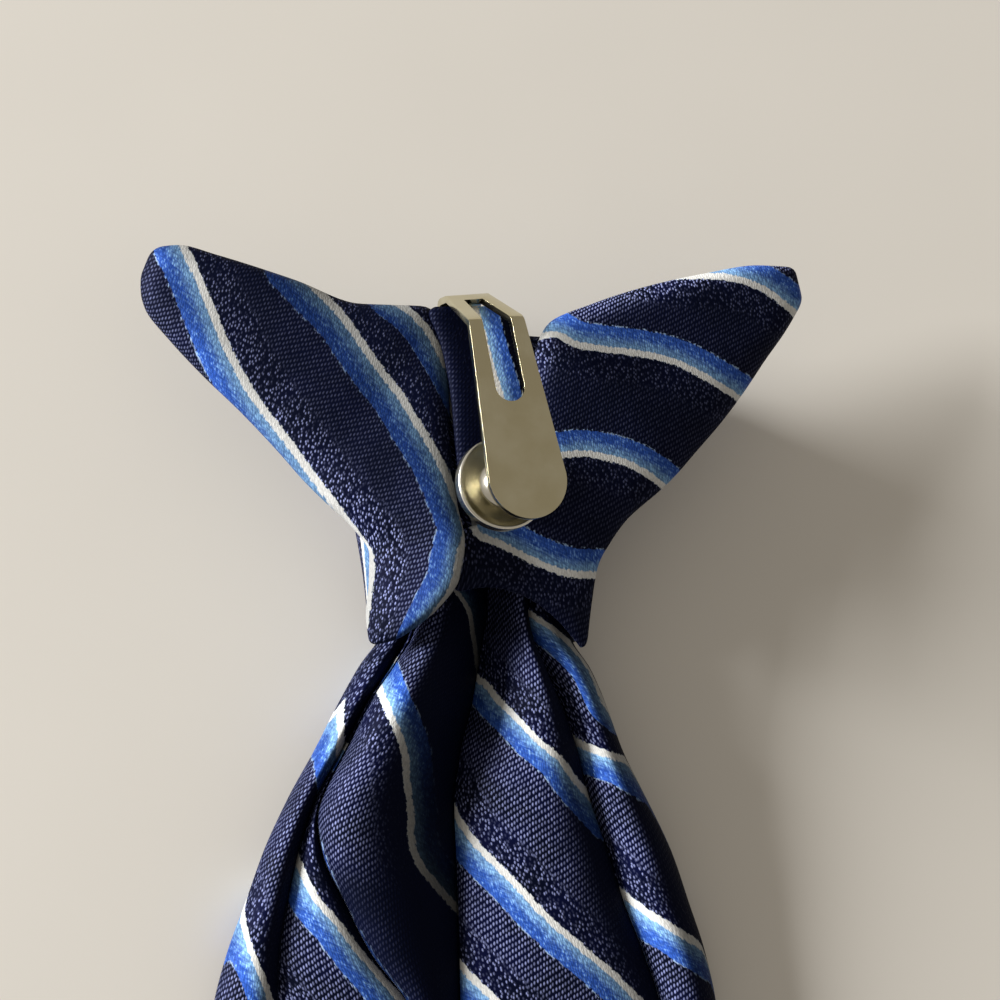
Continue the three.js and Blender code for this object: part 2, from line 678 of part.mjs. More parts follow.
// The whole tie, moved so that the middle of its underside is the origin
const tie = new THREE.Group();
tie.add(
  named("blade", makeBlade(), cloth()),
  named("knot_wrap", makeKnotWrap(), cloth()),
  named("wing_left", makePad(LEFT_WING, WING_STEPS, wingPoint), cloth()),
  named("wing_right", makePad(RIGHT_WING, WING_STEPS, wingPoint), cloth()),
  named("centre_band", makeCentreBand(), cloth()),
);
clipFrame.add(
  named("clip_spring", makeClipSpring(), nickel()),
  named("clip_button", makeClipButton(), nickel()),
);
tie.add(clipFrame);
const box = new THREE.Box3().setFromObject(tie, true);
const middle = box.getCenter(new THREE.Vector3());
tie.position.set(-middle.x, -middle.y, -box.min.z);

export default tie;
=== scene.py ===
"""The clip-on tie of the photograph, lying face down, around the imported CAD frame."""

import math

import bmesh
import bpy
import numpy as np
from mathutils import Matrix, Vector


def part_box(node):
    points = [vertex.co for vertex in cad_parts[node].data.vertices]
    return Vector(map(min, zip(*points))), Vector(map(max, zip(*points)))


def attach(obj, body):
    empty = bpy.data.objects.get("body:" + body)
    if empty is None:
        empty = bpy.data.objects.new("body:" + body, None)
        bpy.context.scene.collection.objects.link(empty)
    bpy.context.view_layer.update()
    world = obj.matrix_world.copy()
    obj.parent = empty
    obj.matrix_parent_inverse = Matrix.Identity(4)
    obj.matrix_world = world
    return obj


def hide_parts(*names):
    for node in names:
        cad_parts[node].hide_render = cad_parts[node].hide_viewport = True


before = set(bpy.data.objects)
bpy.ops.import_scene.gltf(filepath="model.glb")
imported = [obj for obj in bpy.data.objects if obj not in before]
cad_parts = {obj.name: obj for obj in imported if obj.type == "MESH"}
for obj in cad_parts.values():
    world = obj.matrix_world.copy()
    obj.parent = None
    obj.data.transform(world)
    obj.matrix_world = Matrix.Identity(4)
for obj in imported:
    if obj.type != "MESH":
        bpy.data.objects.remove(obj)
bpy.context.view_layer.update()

scene = bpy.context.scene
MM = 0.001

# Sizes of the source, in mm, in the frame where y = 0 is the neck and z = 0 the ground
OVERALL_LENGTH = 406
WING_SPAN = 88.8
WING_RISE = 52.6
WING_PAD = 5.4
PAD_BELOW = 0.42
PAD_LEAST = 0.45
NECK_WIDTH = 28.8
KNOT_TOP_WIDTH = 50
KNOT_HEIGHT = 42
KNOT_DEPTH = 15
KNOT_WALL = 2
KNOT_SQUARENESS = 3
KNOT_FLARE = 1.7
MOUTH_RISE = 9
MOUTH_FADE = 3
BLADE_WIDTH = 76
BLADE_THICKNESS = 4
TIP_HEIGHT = 38
POINT_WIDTH = 1.2
GATHER_DEPTH = 16
GATHER_LENGTH = 130
LAYER_THICKNESS = 7
GROOVE_SHARE = 0.7
FLAP_STEP = 1.1
FLAP_LEAN = 0.25
BAND_THICKNESS = 2
BAND_TOP = 19.7
CLIP_TURN = math.radians(11)
CLIP_LEAN = math.radians(10)
CLIP_X = 1.3
CLIP_Y = 0.3574 * WING_RISE
SHEET = 0.9
LAY_GAP = 0.4
PIN_GAP = 0.3
SIDE_GAP = 0.9
BUTTON_DIAMETER = 12
BUTTON_THICKNESS = 1.8
BUTTON_RIM = 1
BUTTON_DISH = 0.12
EDGE_ROUND = 0.34
BOSS_RADIUS = 2.9
BOSS_RISE = 0.75
BUTTON_STAND = 1.8
BUTTON_ASIDE = -1.2
BUTTON_ALONG = 0.7
POST_DIAMETER = 3

# Woven stripes: repeat, whole band and the white line at its edge
REPEAT = 14.2
BAND_WIDE = 4.3
WHITE_WIDE = 1.05
CREPE_WIDE = 4.4

blade_low, blade_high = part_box("blade")
SHIFT = np.array([(blade_low.x + blade_high.x) / 2 / MM,
                  blade_low.y / MM + OVERALL_LENGTH - WING_RISE, 0.0])


def lerp(a, b, t):
    return a + (b - a) * t


def smoothstep(low, high, value):
    t = np.clip((value - low) / (high - low), 0, 1)
    return t * t * (3 - 2 * t)


def soft_max(a, b, blend):
    return (a + b + np.sqrt((a - b) ** 2 + blend**2)) / 2


def spline(knots, values, at):
    """Monotone cubic through rows of values at the knots."""
    knots, values = np.asarray(knots, float), np.asarray(values, float)
    gaps = np.diff(knots)
    rise = np.diff(values, axis=0) / gaps[:, None]
    tangent = np.zeros_like(values)
    tangent[0], tangent[-1] = rise[0], rise[-1]
    before, after = rise[:-1], rise[1:]
    same = before * after > 0
    total = np.where(same, before + after, 1)
    tangent[1:-1] = np.where(same, 2 * before * after / total, 0)
    i = np.clip(np.searchsorted(knots, at, side="left") - 1, 0, len(knots) - 2)
    span = gaps[i][:, None]
    t = np.clip((at - knots[i]) / gaps[i], 0, 1)[:, None]
    t2, t3 = t * t, t**3
    return ((2 * t3 - 3 * t2 + 1) * values[i] + (t3 - 2 * t2 + t) * span * tangent[i]
            + (3 * t2 - 2 * t3) * values[i + 1] + (t3 - t2) * span * tangent[i + 1])


# Camera
VIEW_AZIMUTH = math.radians(-40)
VIEW_ELEVATION = math.radians(74)
VIEW_DISTANCE = 215.0
VIEW_WIDTH = 128.0
VIEW_TARGET = np.array([0.75, 17.9, 20.0])
PHOTO_SIDE = 1000
SENSOR = 36.0
CLIP_RANGE = (0.01, 10)

view_back = np.array([math.sin(VIEW_AZIMUTH) * math.cos(VIEW_ELEVATION),
                      -math.cos(VIEW_AZIMUTH) * math.cos(VIEW_ELEVATION),
                      math.sin(VIEW_ELEVATION)])
view_up = np.array([0.0, 1.0, 0.0]) - view_back[1] * view_back
view_up /= np.linalg.norm(view_up)
view_right = np.cross(view_up, view_back)
view_eye = VIEW_TARGET + view_back * VIEW_DISTANCE
PIXEL = VIEW_WIDTH / PHOTO_SIDE / VIEW_DISTANCE


def photo_place(points):
    """Where points in mm are in the photograph's frame."""
    away = points - view_eye
    depth = -(away @ view_back)
    px = PHOTO_SIDE / 2 + (away @ view_right) / depth / PIXEL
    py = PHOTO_SIDE / 2 - (away @ view_up) / depth / PIXEL
    return np.stack([px, py], axis=-1)


def metres(points):
    return (np.asarray(points, float) + SHIFT) * MM


def link(name, data):
    """An object that holds the data, in the scene."""
    made = bpy.data.objects.new(name, data)
    scene.collection.objects.link(made)
    return made


def make_camera():
    data = bpy.data.cameras.new("camera")
    data.sensor_width = SENSOR
    data.lens = SENSOR * VIEW_DISTANCE / VIEW_WIDTH
    data.clip_start, data.clip_end = CLIP_RANGE
    camera = link("camera", data)
    place = Matrix(np.stack([view_right, view_up, view_back], axis=1)).to_4x4()
    place.translation = Vector(metres(view_eye))
    camera.matrix_world = place
    scene.camera = camera


make_camera()


# Stripe guides: the repeat each stands for, the band's width there in the photograph, and the
# outer edge of its white line, with the dark cloth beyond it to the right of the way down
LEFT_WING_GUIDES = [
    (0, 34, [(184, 236), (190, 250), (202, 275), (218, 315), (237, 358), (260, 398), (283, 428),
        (303, 455), (330, 492), (360, 532), (373, 552), (374, 580), (366, 640)]),
    (1, 33, [(296, 262), (323, 290), (343, 310), (363, 338), (387, 372), (403, 392), (423, 425),
        (443, 458), (458, 492), (468, 518), (470, 535), (464, 555), (460, 578), (455, 592),
        (448, 603), (437, 620), (420, 645)]),
    (2, 30, [(385, 294), (402, 302), (414, 310), (425, 321), (435, 335), (444, 352), (458, 380),
        (485, 440)]),
]
RIGHT_WING_GUIDES = [
    (0, 27, [(815, 345), (797, 321), (785, 309), (765, 294), (745, 285), (723, 280), (700, 279),
        (673, 279), (640, 270), (600, 255), (560, 240)]),
    (1, 27, [(760, 425), (735, 400), (723, 392), (700, 378), (673, 365), (640, 357), (600, 352),
        (573, 347), (557, 338), (540, 340), (500, 352)]),
    (2, 27, [(690, 520), (662, 490), (647, 478), (627, 467), (607, 461), (583, 457), (560, 459),
        (520, 466), (480, 480)]),
    (3, 30, [(640, 583), (595, 579), (573, 578), (553, 573), (527, 562), (500, 548), (477, 538),
        (466, 522), (450, 508), (430, 505), (400, 510)]),
]
BAND_GUIDES = [
    (0, 24, [(512, 440), (500, 403), (493, 380), (484, 350), (476, 320), (464, 280)]),
    (1, 24, [(425, 480), (420, 440), (412, 400), (404, 350), (396, 320), (380, 280)]),
]
L1_GUIDES = [
    (0, 25, [(232, 870), (243, 903), (248, 930), (257, 957), (267, 980), (275, 1005),
        (300, 1080)]),
    (1, 30, [(375, 600), (356, 655), (347, 690), (344, 715), (345, 740), (343, 755), (350, 800)]),
    (2, 30, [(465, 590), (452, 640), (450, 700), (460, 800)]),
]
L3_GUIDES = [
    (0, 30, [(285, 820), (300, 857), (307, 873), (320, 897), (340, 920), (360, 947), (380, 970),
        (400, 993), (440, 1040)]),
]
L2_GUIDES = [
    (0, 30, [(500, 960), (453, 910), (433, 887), (417, 867), (408, 843), (407, 813), (403, 780),
        (402, 760), (397, 740), (387, 717), (377, 693), (365, 660)]),
    (1, 30, [(440, 1080), (370, 1000), (335, 947), (313, 906), (297, 866), (290, 840), (280, 790),
        (270, 700)]),
    (-1, 19, [(482, 700), (476, 672), (473, 650), (470, 630), (467, 613), (460, 600),
        (448, 585)]),
]
R1_GUIDES = [
    (0, 29, [(445, 780), (455, 803), (463, 820), (480, 843), (500, 863), (517, 880), (540, 905),
        (563, 927), (590, 950), (617, 973), (637, 993), (690, 1045)]),
    (1, 26, [(465, 655), (480, 677), (487, 680), (500, 697), (520, 717), (540, 738), (563, 757),
        (577, 777), (610, 815)]),
    (2, 26, [(520, 530), (545, 565), (562, 600), (582, 645), (615, 710), (660, 770)]),
]
R2_GUIDES = [
    (0, 30, [(600, 868), (615, 882), (630, 895), (650, 910), (667, 920), (687, 933), (702, 942),
        (740, 965)]),
    (1, 30, [(550, 700), (563, 720), (573, 735), (587, 743), (607, 750), (627, 757), (640, 765),
        (670, 785), (760, 860)]),
    (2, 24, [(500, 594), (518, 603), (540, 617), (563, 633), (580, 650), (593, 667), (600, 683),
        (610, 705), (650, 750), (740, 820)]),
]


def smooth_line(line, parts=6):
    """A line of points with a smooth curve through them."""
    p = np.asarray(line, float)
    before = np.vstack([2 * p[0] - p[1], p[:-2]])
    after = np.vstack([p[2:], 2 * p[-1] - p[-2]])
    out = []
    for k in range(parts):
        t = k / parts
        a, b, c, d = before, p[:-1], p[1:], after
        out.append(0.5 * (2 * b + (c - a) * t + (2 * a - 5 * b + 4 * c - d) * t**2
                          + (3 * b - a - 3 * c + d) * t**3))
    return np.vstack([np.stack(out, axis=1).reshape(-1, 2), p[-1:]])


def guide_distance(px, line):
    """Signed distance in photo pixels to a line of points, positive right of its way down."""
    line = smooth_line(line)
    best = np.full(len(px), np.inf)
    signed = np.zeros(len(px))
    for a, b in zip(line[:-1], line[1:]):
        way = b - a
        length = np.linalg.norm(way)
        t = np.clip(((px - a) @ way) / length**2, 0, 1)
        gap = px - (a + t[:, None] * way)
        reach = np.linalg.norm(gap, axis=1)
        side = (way[1] * gap[:, 0] - way[0] * gap[:, 1]) / length
        closer = reach < best - 1e-9
        best = np.where(closer, reach, best)
        signed = np.where(closer, np.sign(side) * reach, signed)
    return signed


# Shares of the way from one guide to the next between which the cloth's coordinate changes over
GUIDE_BLEND = (0.3, 0.62)


def stripe_across(points, guides):
    """The cloth's coordinate across its stripes in mm, a whole repeat at each guide."""
    px = photo_place(points.reshape(-1, 3))
    ordered = sorted(guides, key=lambda g: g[0])
    distance = [guide_distance(px, line) for _, _, line in ordered]
    own = [n * REPEAT + d * BAND_WIDE / wide for (n, wide, _), d in zip(ordered, distance)]
    across = own[0]
    for k in range(1, len(ordered)):
        before = np.maximum(distance[k - 1], 0)
        after = np.maximum(-distance[k], 0)
        share = before / np.maximum(before + after, 1e-6)
        mixed = lerp(own[k - 1], own[k], smoothstep(*GUIDE_BLEND, share))
        across = np.where(distance[k - 1] > 0, mixed, across)
        across = np.where(distance[k] >= 0, own[k], across)
    return across.reshape(points.shape[:-1])


# Mesh building
def eased(steps):
    """Shares from 0 to 1 that stand closer together at both ends."""
    return 0.5 - 0.5 * np.cos(np.pi * np.arange(steps + 1) / steps)


def ring_quads(rings, count, closed=False):
    """Quads between rings of points, and from the last ring to the first where closed."""
    i, j = np.meshgrid(np.arange(rings if closed else rings - 1), np.arange(count), indexing="ij")
    here, after = i * count, (i + 1) % rings * count
    k = (j + 1) % count
    return np.stack([here + j, here + k, after + k, after + j], axis=-1).reshape(-1, 4).tolist()


def pad_faces(rings, count):
    """Quads between a pad's rings, and its two ends between the upper and lower rows."""
    faces = ring_quads(rings, count)
    for base, flip in ((0, True), ((rings - 1) * count, False)):
        for k in range(count // 2):
            face = [base + f for f in dict.fromkeys((k, k + 1, count - k - 1, -k % count))]
            faces.append(face if flip else face[::-1])
    return faces


def add_object(name, mesh, work, replaced, smooth_angle):
    """A piece from a mesh and its edited copy, that rides on the frame in a solid's place."""
    work.to_mesh(mesh)
    work.free()
    for polygon in mesh.polygons:
        polygon.use_smooth = True
    mesh.set_sharp_from_angle(angle=math.radians(smooth_angle))
    piece = link(name, mesh)
    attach(piece, "root")
    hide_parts(replaced)
    return piece


CLOTH_SMOOTH = 50


def add_cloth(name, points, faces, uvs, replaced, swaps=()):
    """A piece of cloth from points in mm, with UV maps given per point.

    Each swap gives a corner's number and the point whose UV it takes instead of its own.
    """
    mesh = bpy.data.meshes.new(name)
    mesh.from_pydata(metres(points).tolist(), [], faces)
    mesh.validate()
    corner = np.zeros(len(mesh.loops), np.int64)
    mesh.loops.foreach_get("vertex_index", corner)
    for number, point in swaps:
        corner[number] = point
    for layer, values in uvs.items():
        uv = mesh.uv_layers.new(name=layer)
        uv.data.foreach_set("uv", np.asarray(values, np.float32)[corner].ravel())
    work = bmesh.new()
    work.from_mesh(mesh)
    bmesh.ops.recalc_face_normals(work, faces=work.faces)
    return add_object(name, mesh, work, replaced, CLOTH_SMOOTH)


def add_painted_light(piece, shade, share, way, low, high, flecks, bands):
    """Painted light: how far the cloth's flecks and bands catch the light, from the way that it
    faces, kept as point attributes that lighten their colour.
    """
    mesh = piece.data
    normals = np.zeros(len(mesh.vertices) * 3, np.float32)
    mesh.vertex_normals.foreach_get("vector", normals)
    normals = normals.reshape(-1, 3)
    way = np.asarray(way, float)
    catch = smoothstep(low, high, normals @ (way / np.linalg.norm(way)))
    catch = lerp(catch, UNDERSIDE_CATCH, smoothstep(*UNDERSIDE_RAMP, -normals[:, 2]))
    # Painted shade: where the cloth faces the lamp straight on, its painted light is lowered
    glare = smoothstep(*GLARE_RAMP, normals @ LIGHT_WAY)
    shade = shade * (1 - GLARE_LOSS * glare)
    for attribute, (least, most), more in (("painted_fleck_light", flecks, 1), ("painted_band_light", bands, share)):
        values = mesh.attributes.new(attribute, "FLOAT", "POINT")
        gain = lerp(least, most, catch) * shade * more
        values.data.foreach_set("value", gain.astype(np.float32))


def walk_round(place, steps, start, end, sign):
    """Arc length along the rings from one of their points to another, put into the places."""
    count = steps.shape[1]
    run = np.zeros(len(steps))
    way = 1 if end > start else -1
    for j in range(start, end, way):
        run = run + sign * steps[:, (j if way > 0 else j - 1) % count]
        place[:, (j + way) % count] = run


def unrolled(points):
    """Cloth coordinates in mm of rings of points: the plan in the middle, arc length round it."""
    half = points.shape[1] // 2
    middle = half // 2
    steps = np.linalg.norm(np.diff(points, axis=1, append=points[:, :1]), axis=2)
    way = points[:, half, :2] - points[:, 0, :2]
    way /= np.maximum(np.linalg.norm(way, axis=1, keepdims=True), 1e-6)
    place = np.zeros(points.shape[:2])
    walk_round(place, steps, middle, middle + half, 1)
    walk_round(place, steps, middle, middle - half + 1, -1)
    return points[:, middle, None, :2] + way[:, None, :] * place[..., None]


def turned(across, along, degrees):
    """Cloth coordinates turned by an angle."""
    c, s = math.cos(math.radians(degrees)), math.sin(math.radians(degrees))
    return np.stack([across * c - along * s, across * s + along * c], axis=-1)


def uv_maps(cloth, across, along):
    """The weave's place on the cloth, and the place across and along its stripes."""
    stripe = np.stack([across, along], axis=-1)
    return {"cloth": cloth.reshape(-1, 2), "stripe": stripe.reshape(-1, 2)}


# Knot sleeve
def knot_half_width(y):
    share = np.clip(np.asarray(y, float) / KNOT_HEIGHT, 0, 1)
    return lerp(NECK_WIDTH / 2, KNOT_TOP_WIDTH / 2, share**KNOT_FLARE)


def knot_back(x, y):
    share = np.minimum(np.abs(x) / knot_half_width(y), 1)
    arch = (1 - share**KNOT_SQUARENESS) ** (1 / KNOT_SQUARENESS)
    return KNOT_DEPTH / 2 * (1 + arch)


# Places up the sleeve, and how far its wall has drawn in there at the two lips
SLEEVE_UP = [0.04, 0.045, 0.055, 0.085, 0.14, 0.28, 0.42, 0.56, 0.7, 0.84, 0.96, 0.985, 0.995, 1]
SLEEVE_LIP = [0.45, 0.28, 0.1, 0, 0, 0, 0, 0, 0, 0, 0, 0.1, 0.28, 0.45]
SLEEVE_SIDES = 160
SLEEVE_RINGS = 53
# How much its stripes' coordinate changes round and up the sleeve, and where it starts
SLEEVE_STRIPES = (0.93, 0.37, 1.0)


def make_knot_wrap():
    angle = 2 * np.pi * np.arange(SLEEVE_SIDES) / SLEEVE_SIDES
    c, s = np.cos(angle), np.sin(angle)
    power = 2 / KNOT_SQUARENESS
    rows = np.arange(len(SLEEVE_UP))
    fine, lips = (np.interp(np.linspace(0, rows[-1], SLEEVE_RINGS), rows, column)
                  for column in (SLEEVE_UP, SLEEVE_LIP))
    front_middle = 1.5 * np.pi
    rings, flat = [], []
    for outside in (True, False):
        for up, lip in zip(fine[:: 1 if outside else -1], lips[:: 1 if outside else -1]):
            draw = KNOT_WALL * (lip if outside else 1 - lip)
            wide = knot_half_width(up * KNOT_HEIGHT) - draw
            deep = KNOT_DEPTH / 2 - draw
            x = np.sign(c) * np.abs(c) ** power * wide
            z = KNOT_DEPTH / 2 + np.sign(s) * np.abs(s) ** power * deep
            rise = np.where(s > 0, MOUTH_RISE * s**2 * (1 - up) ** MOUTH_FADE, 0)
            y = up * KNOT_HEIGHT + rise
            ring = np.stack([x, y, z], axis=1)
            rings.append(ring)
            outline = ring[:, [0, 2]]
            step = np.linalg.norm(np.diff(outline, axis=0, append=outline[:1]), axis=1)
            girth = np.concatenate([[0], np.cumsum(step)[:-1]])
            flat.append(np.stack([girth - np.interp(front_middle, angle, girth), y], axis=1))
    points, plan = np.array(rings), np.array(flat)
    round_it, up_it, start = SLEEVE_STRIPES
    across = plan[..., 0] * round_it + plan[..., 1] * up_it + start
    faces = ring_quads(len(rings), SLEEVE_SIDES, closed=True)
    uvs = uv_maps(plan, across, plan[..., 1])
    piece = add_cloth("knot_sleeve", points.reshape(-1, 3), faces, uvs, "knot_wrap")
    return piece


# Wings: x in half spans, y in rises, z in knot depths; pad and bow in shares of the pad and rise
LEFT_WING = [
    [-1.036, 0.872, 0.98, -1.0, 0.962, 1.02, 0.42, 0],
    [-1.012, 0.808, 0.98, -0.92, 0.968, 1.06, 0.74, 0],
    [-0.936, 0.73, 0.97, -0.8, 0.942, 1.1, 0.88, 0],
    [-0.838, 0.646, 0.96, -0.585, 0.888, 1.14, 0.98, 0],
    [-0.723, 0.555, 0.97, -0.39, 0.834, 1.16, 1, 0],
    [-0.616, 0.46, 1, -0.212, 0.836, 1.18, 1, 0],
    [-0.54, 0.388, 1.02, -0.13, 0.765, 1.16, 0.98, 0],
    [-0.472, 0.332, 1.04, -0.122, 0.49, 1.2, 0.98, 0],
    [-0.405, 0.283, 1.02, -0.106, 0.33, 1.28, 0.96, 0],
    [-0.345, 0.215, 0.96, -0.086, 0.232, 1.33, 0.92, 0],
    [-0.344, 0.146, 0.92, -0.098, 0.148, 1.3, 0.86, 0],
    [-0.35, 0.072, 0.9, -0.16, 0.07, 1.22, 0.76, 0],
    [-0.338, -0.008, 0.9, -0.262, 0.002, 1.06, 0.5, 0],
]
RIGHT_WING = [
    [1.004, 0.93, 0.98, 0.976, 1.022, 1.02, 0.42, 0],
    [0.944, 0.846, 0.98, 0.84, 1.014, 1.06, 0.76, 0],
    [0.872, 0.76, 0.97, 0.67, 0.978, 1.1, 0.9, 0],
    [0.81, 0.682, 0.96, 0.49, 0.932, 1.13, 1, 0],
    [0.728, 0.59, 0.97, 0.315, 0.874, 1.15, 1, 0],
    [0.642, 0.506, 0.99, 0.168, 0.806, 1.16, 0.98, 0],
    [0.576, 0.442, 1, 0.124, 0.7, 1.16, 0.9, 0],
    [0.52, 0.396, 1, 0.108, 0.56, 1.17, 0.8, 0],
    [0.47, 0.36, 0.99, 0.102, 0.43, 1.17, 0.72, 0],
    [0.425, 0.324, 0.97, 0.066, 0.32, 1.16, 0.66, 0],
    [0.375, 0.265, 0.95, -0.08, 0.274, 1.1, 0.62, 0],
    [0.338, 0.205, 0.93, -0.105, 0.22, 1.09, 0.6, 0.01],
    [0.318, 0.11, 0.92, -0.11, 0.165, 1.09, 0.6, 0.035],
    [0.3, -0.02, 0.91, -0.1, 0.118, 1.09, 0.56, 0.07],
]

# The wings' flecks stand a little closer than the blade's and are turned, in degrees
WING_WEAVE = 1.06
LEFT_WEAVE_TURN, RIGHT_WEAVE_TURN = -12, -30
WING_STEPS = 150
WING_POINTS = 56
WING_CORNERS = (1.7, 1.2)
PAD_BLEND = 0.5
PAD_SQUARENESS = 4
NO_THICKNESS = 1e-3
# Painted light: how much more the left wing's bands are lightened at its tip, and how far out
# that starts and ends
TIP_PAINTED_LIGHT = 0.8
TIP_REACH = (31, 39)


def pad_fullness(across):
    return np.sqrt(np.clip(1 - (2 * across - 1) ** PAD_SQUARENESS, 0, 1))


def wing_shape(value, across):
    out_x, out_y, out_z, in_x, in_y, in_z, full, bow = (v[:, None] for v in value.T)
    x = lerp(out_x, in_x, across) * WING_SPAN / 2
    y = (lerp(out_y, in_y, across) + bow * 4 * across * (1 - across)) * WING_RISE
    level = lerp(out_z, in_z, across) * KNOT_DEPTH
    thick = WING_PAD * full * pad_fullness(across)
    low = np.maximum(level - PAD_BELOW * thick, knot_back(x, y) + LAY_GAP)
    high = soft_max(level + (1 - PAD_BELOW) * thick, low + PAD_LEAST * thick,
                    PAD_BLEND * full)
    high = np.where(thick < NO_THICKNESS, low, high)
    return x, y, high, low


# The rounding of a pad's ends in mm, and the least share of it that a ring keeps
END_ROUND = 1.3
END_LEAST = 0.01


def pad_rings(rows, steps, points, shape, corners):
    """Rings of points round a pad between its two edge lines, with rounded corners and ends."""
    value = spline(np.arange(len(rows)), rows, (len(rows) - 1) * eased(steps))
    across = eased(points)
    x, y, _, _ = shape(value, np.array([[0.0, 0.5, 1.0]]))
    step = np.hypot(np.diff(x[:, 1]), np.diff(y[:, 1]))
    run = np.concatenate([[0], np.cumsum(step)])
    wide = np.hypot(x[:, 2] - x[:, 0], y[:, 2] - y[:, 0])
    near = np.clip(np.minimum(run, run[-1] - run) / END_ROUND, END_LEAST, 1)
    thin = np.sqrt(1 - (1 - near) ** 2)
    inset = np.zeros(len(run))
    for radius, away in zip(corners, (run, run[-1] - run)):
        inset += radius * (1 - np.sqrt(1 - (1 - np.clip(away / radius, 0, 1)) ** 2))
    narrow = 1 - 2 * inset / wide
    across = 0.5 + (across[None, :] - 0.5) * narrow[:, None]
    x, y, high, low = shape(value, across)
    middle = (high + low) / 2
    high = middle + (high - middle) * thin[:, None]
    low = middle + (low - middle) * thin[:, None]
    upper = np.stack([x, y, high], axis=-1)
    lower = np.stack([x, y, low], axis=-1)[:, 1:-1][:, ::-1]
    return np.concatenate([upper, lower], axis=1)


def make_wing(node, rows, guides, weave_turn):
    """A wing's piece, and how much more painted light its bands take at each point."""
    rings = pad_rings(rows, WING_STEPS, WING_POINTS, wing_shape, WING_CORNERS)
    cloth = unrolled(rings) * WING_WEAVE
    weave = turned(cloth[..., 0], cloth[..., 1], weave_turn)
    uvs = uv_maps(weave, stripe_across(rings, guides), cloth[..., 1])
    faces = pad_faces(*rings.shape[:2])
    piece = add_cloth(node + "_cloth", rings.reshape(-1, 3), faces, uvs, node)
    share = 1 + TIP_PAINTED_LIGHT * smoothstep(*TIP_REACH, -rings[..., 0]).ravel()
    return piece, share


# Centre band, on the plane that leans with the clip: left x and y, right x and y, thickness
BAND = [
    [-0.186, 0.826, 0.056, 0.852, 0.8],
    [-0.194, 0.806, 0.064, 0.832, 0.97],
    [-0.16, 0.735, 0.092, 0.74, 1],
    [-0.127, 0.6, 0.088, 0.58, 1],
    [-0.112, 0.46, 0.08, 0.45, 1],
    [-0.096, 0.36, 0.074, 0.365, 0.94],
    [-0.066, 0.31, 0.034, 0.312, 0.72],
]
BAND_STEPS = 70
BAND_POINTS = 28
BAND_CORNERS = (0.8, 0.8)


def band_shape(value, across):
    left_x, left_y, right_x, right_y, full = (v[:, None] for v in value.T)
    x = lerp(left_x, right_x, across) * WING_SPAN / 2
    y = lerp(left_y, right_y, across) * WING_RISE
    thick = BAND_THICKNESS * full * pad_fullness(across) / 2
    aside = (x - CLIP_X) * math.cos(CLIP_TURN) + (y - CLIP_Y) * math.sin(CLIP_TURN)
    level = BAND_TOP - aside * math.tan(CLIP_LEAN) - BAND_THICKNESS / 2
    return x, y, level + thick, level - thick


def make_centre_band():
    rings = pad_rings(BAND, BAND_STEPS, BAND_POINTS, band_shape, BAND_CORNERS)
    cloth = unrolled(rings)
    uvs = uv_maps(cloth, stripe_across(rings, BAND_GUIDES), cloth[..., 1])
    faces = pad_faces(*rings.shape[:2])
    piece = add_cloth("centre_strap", rings.reshape(-1, 3), faces, uvs, "centre_band")
    return piece


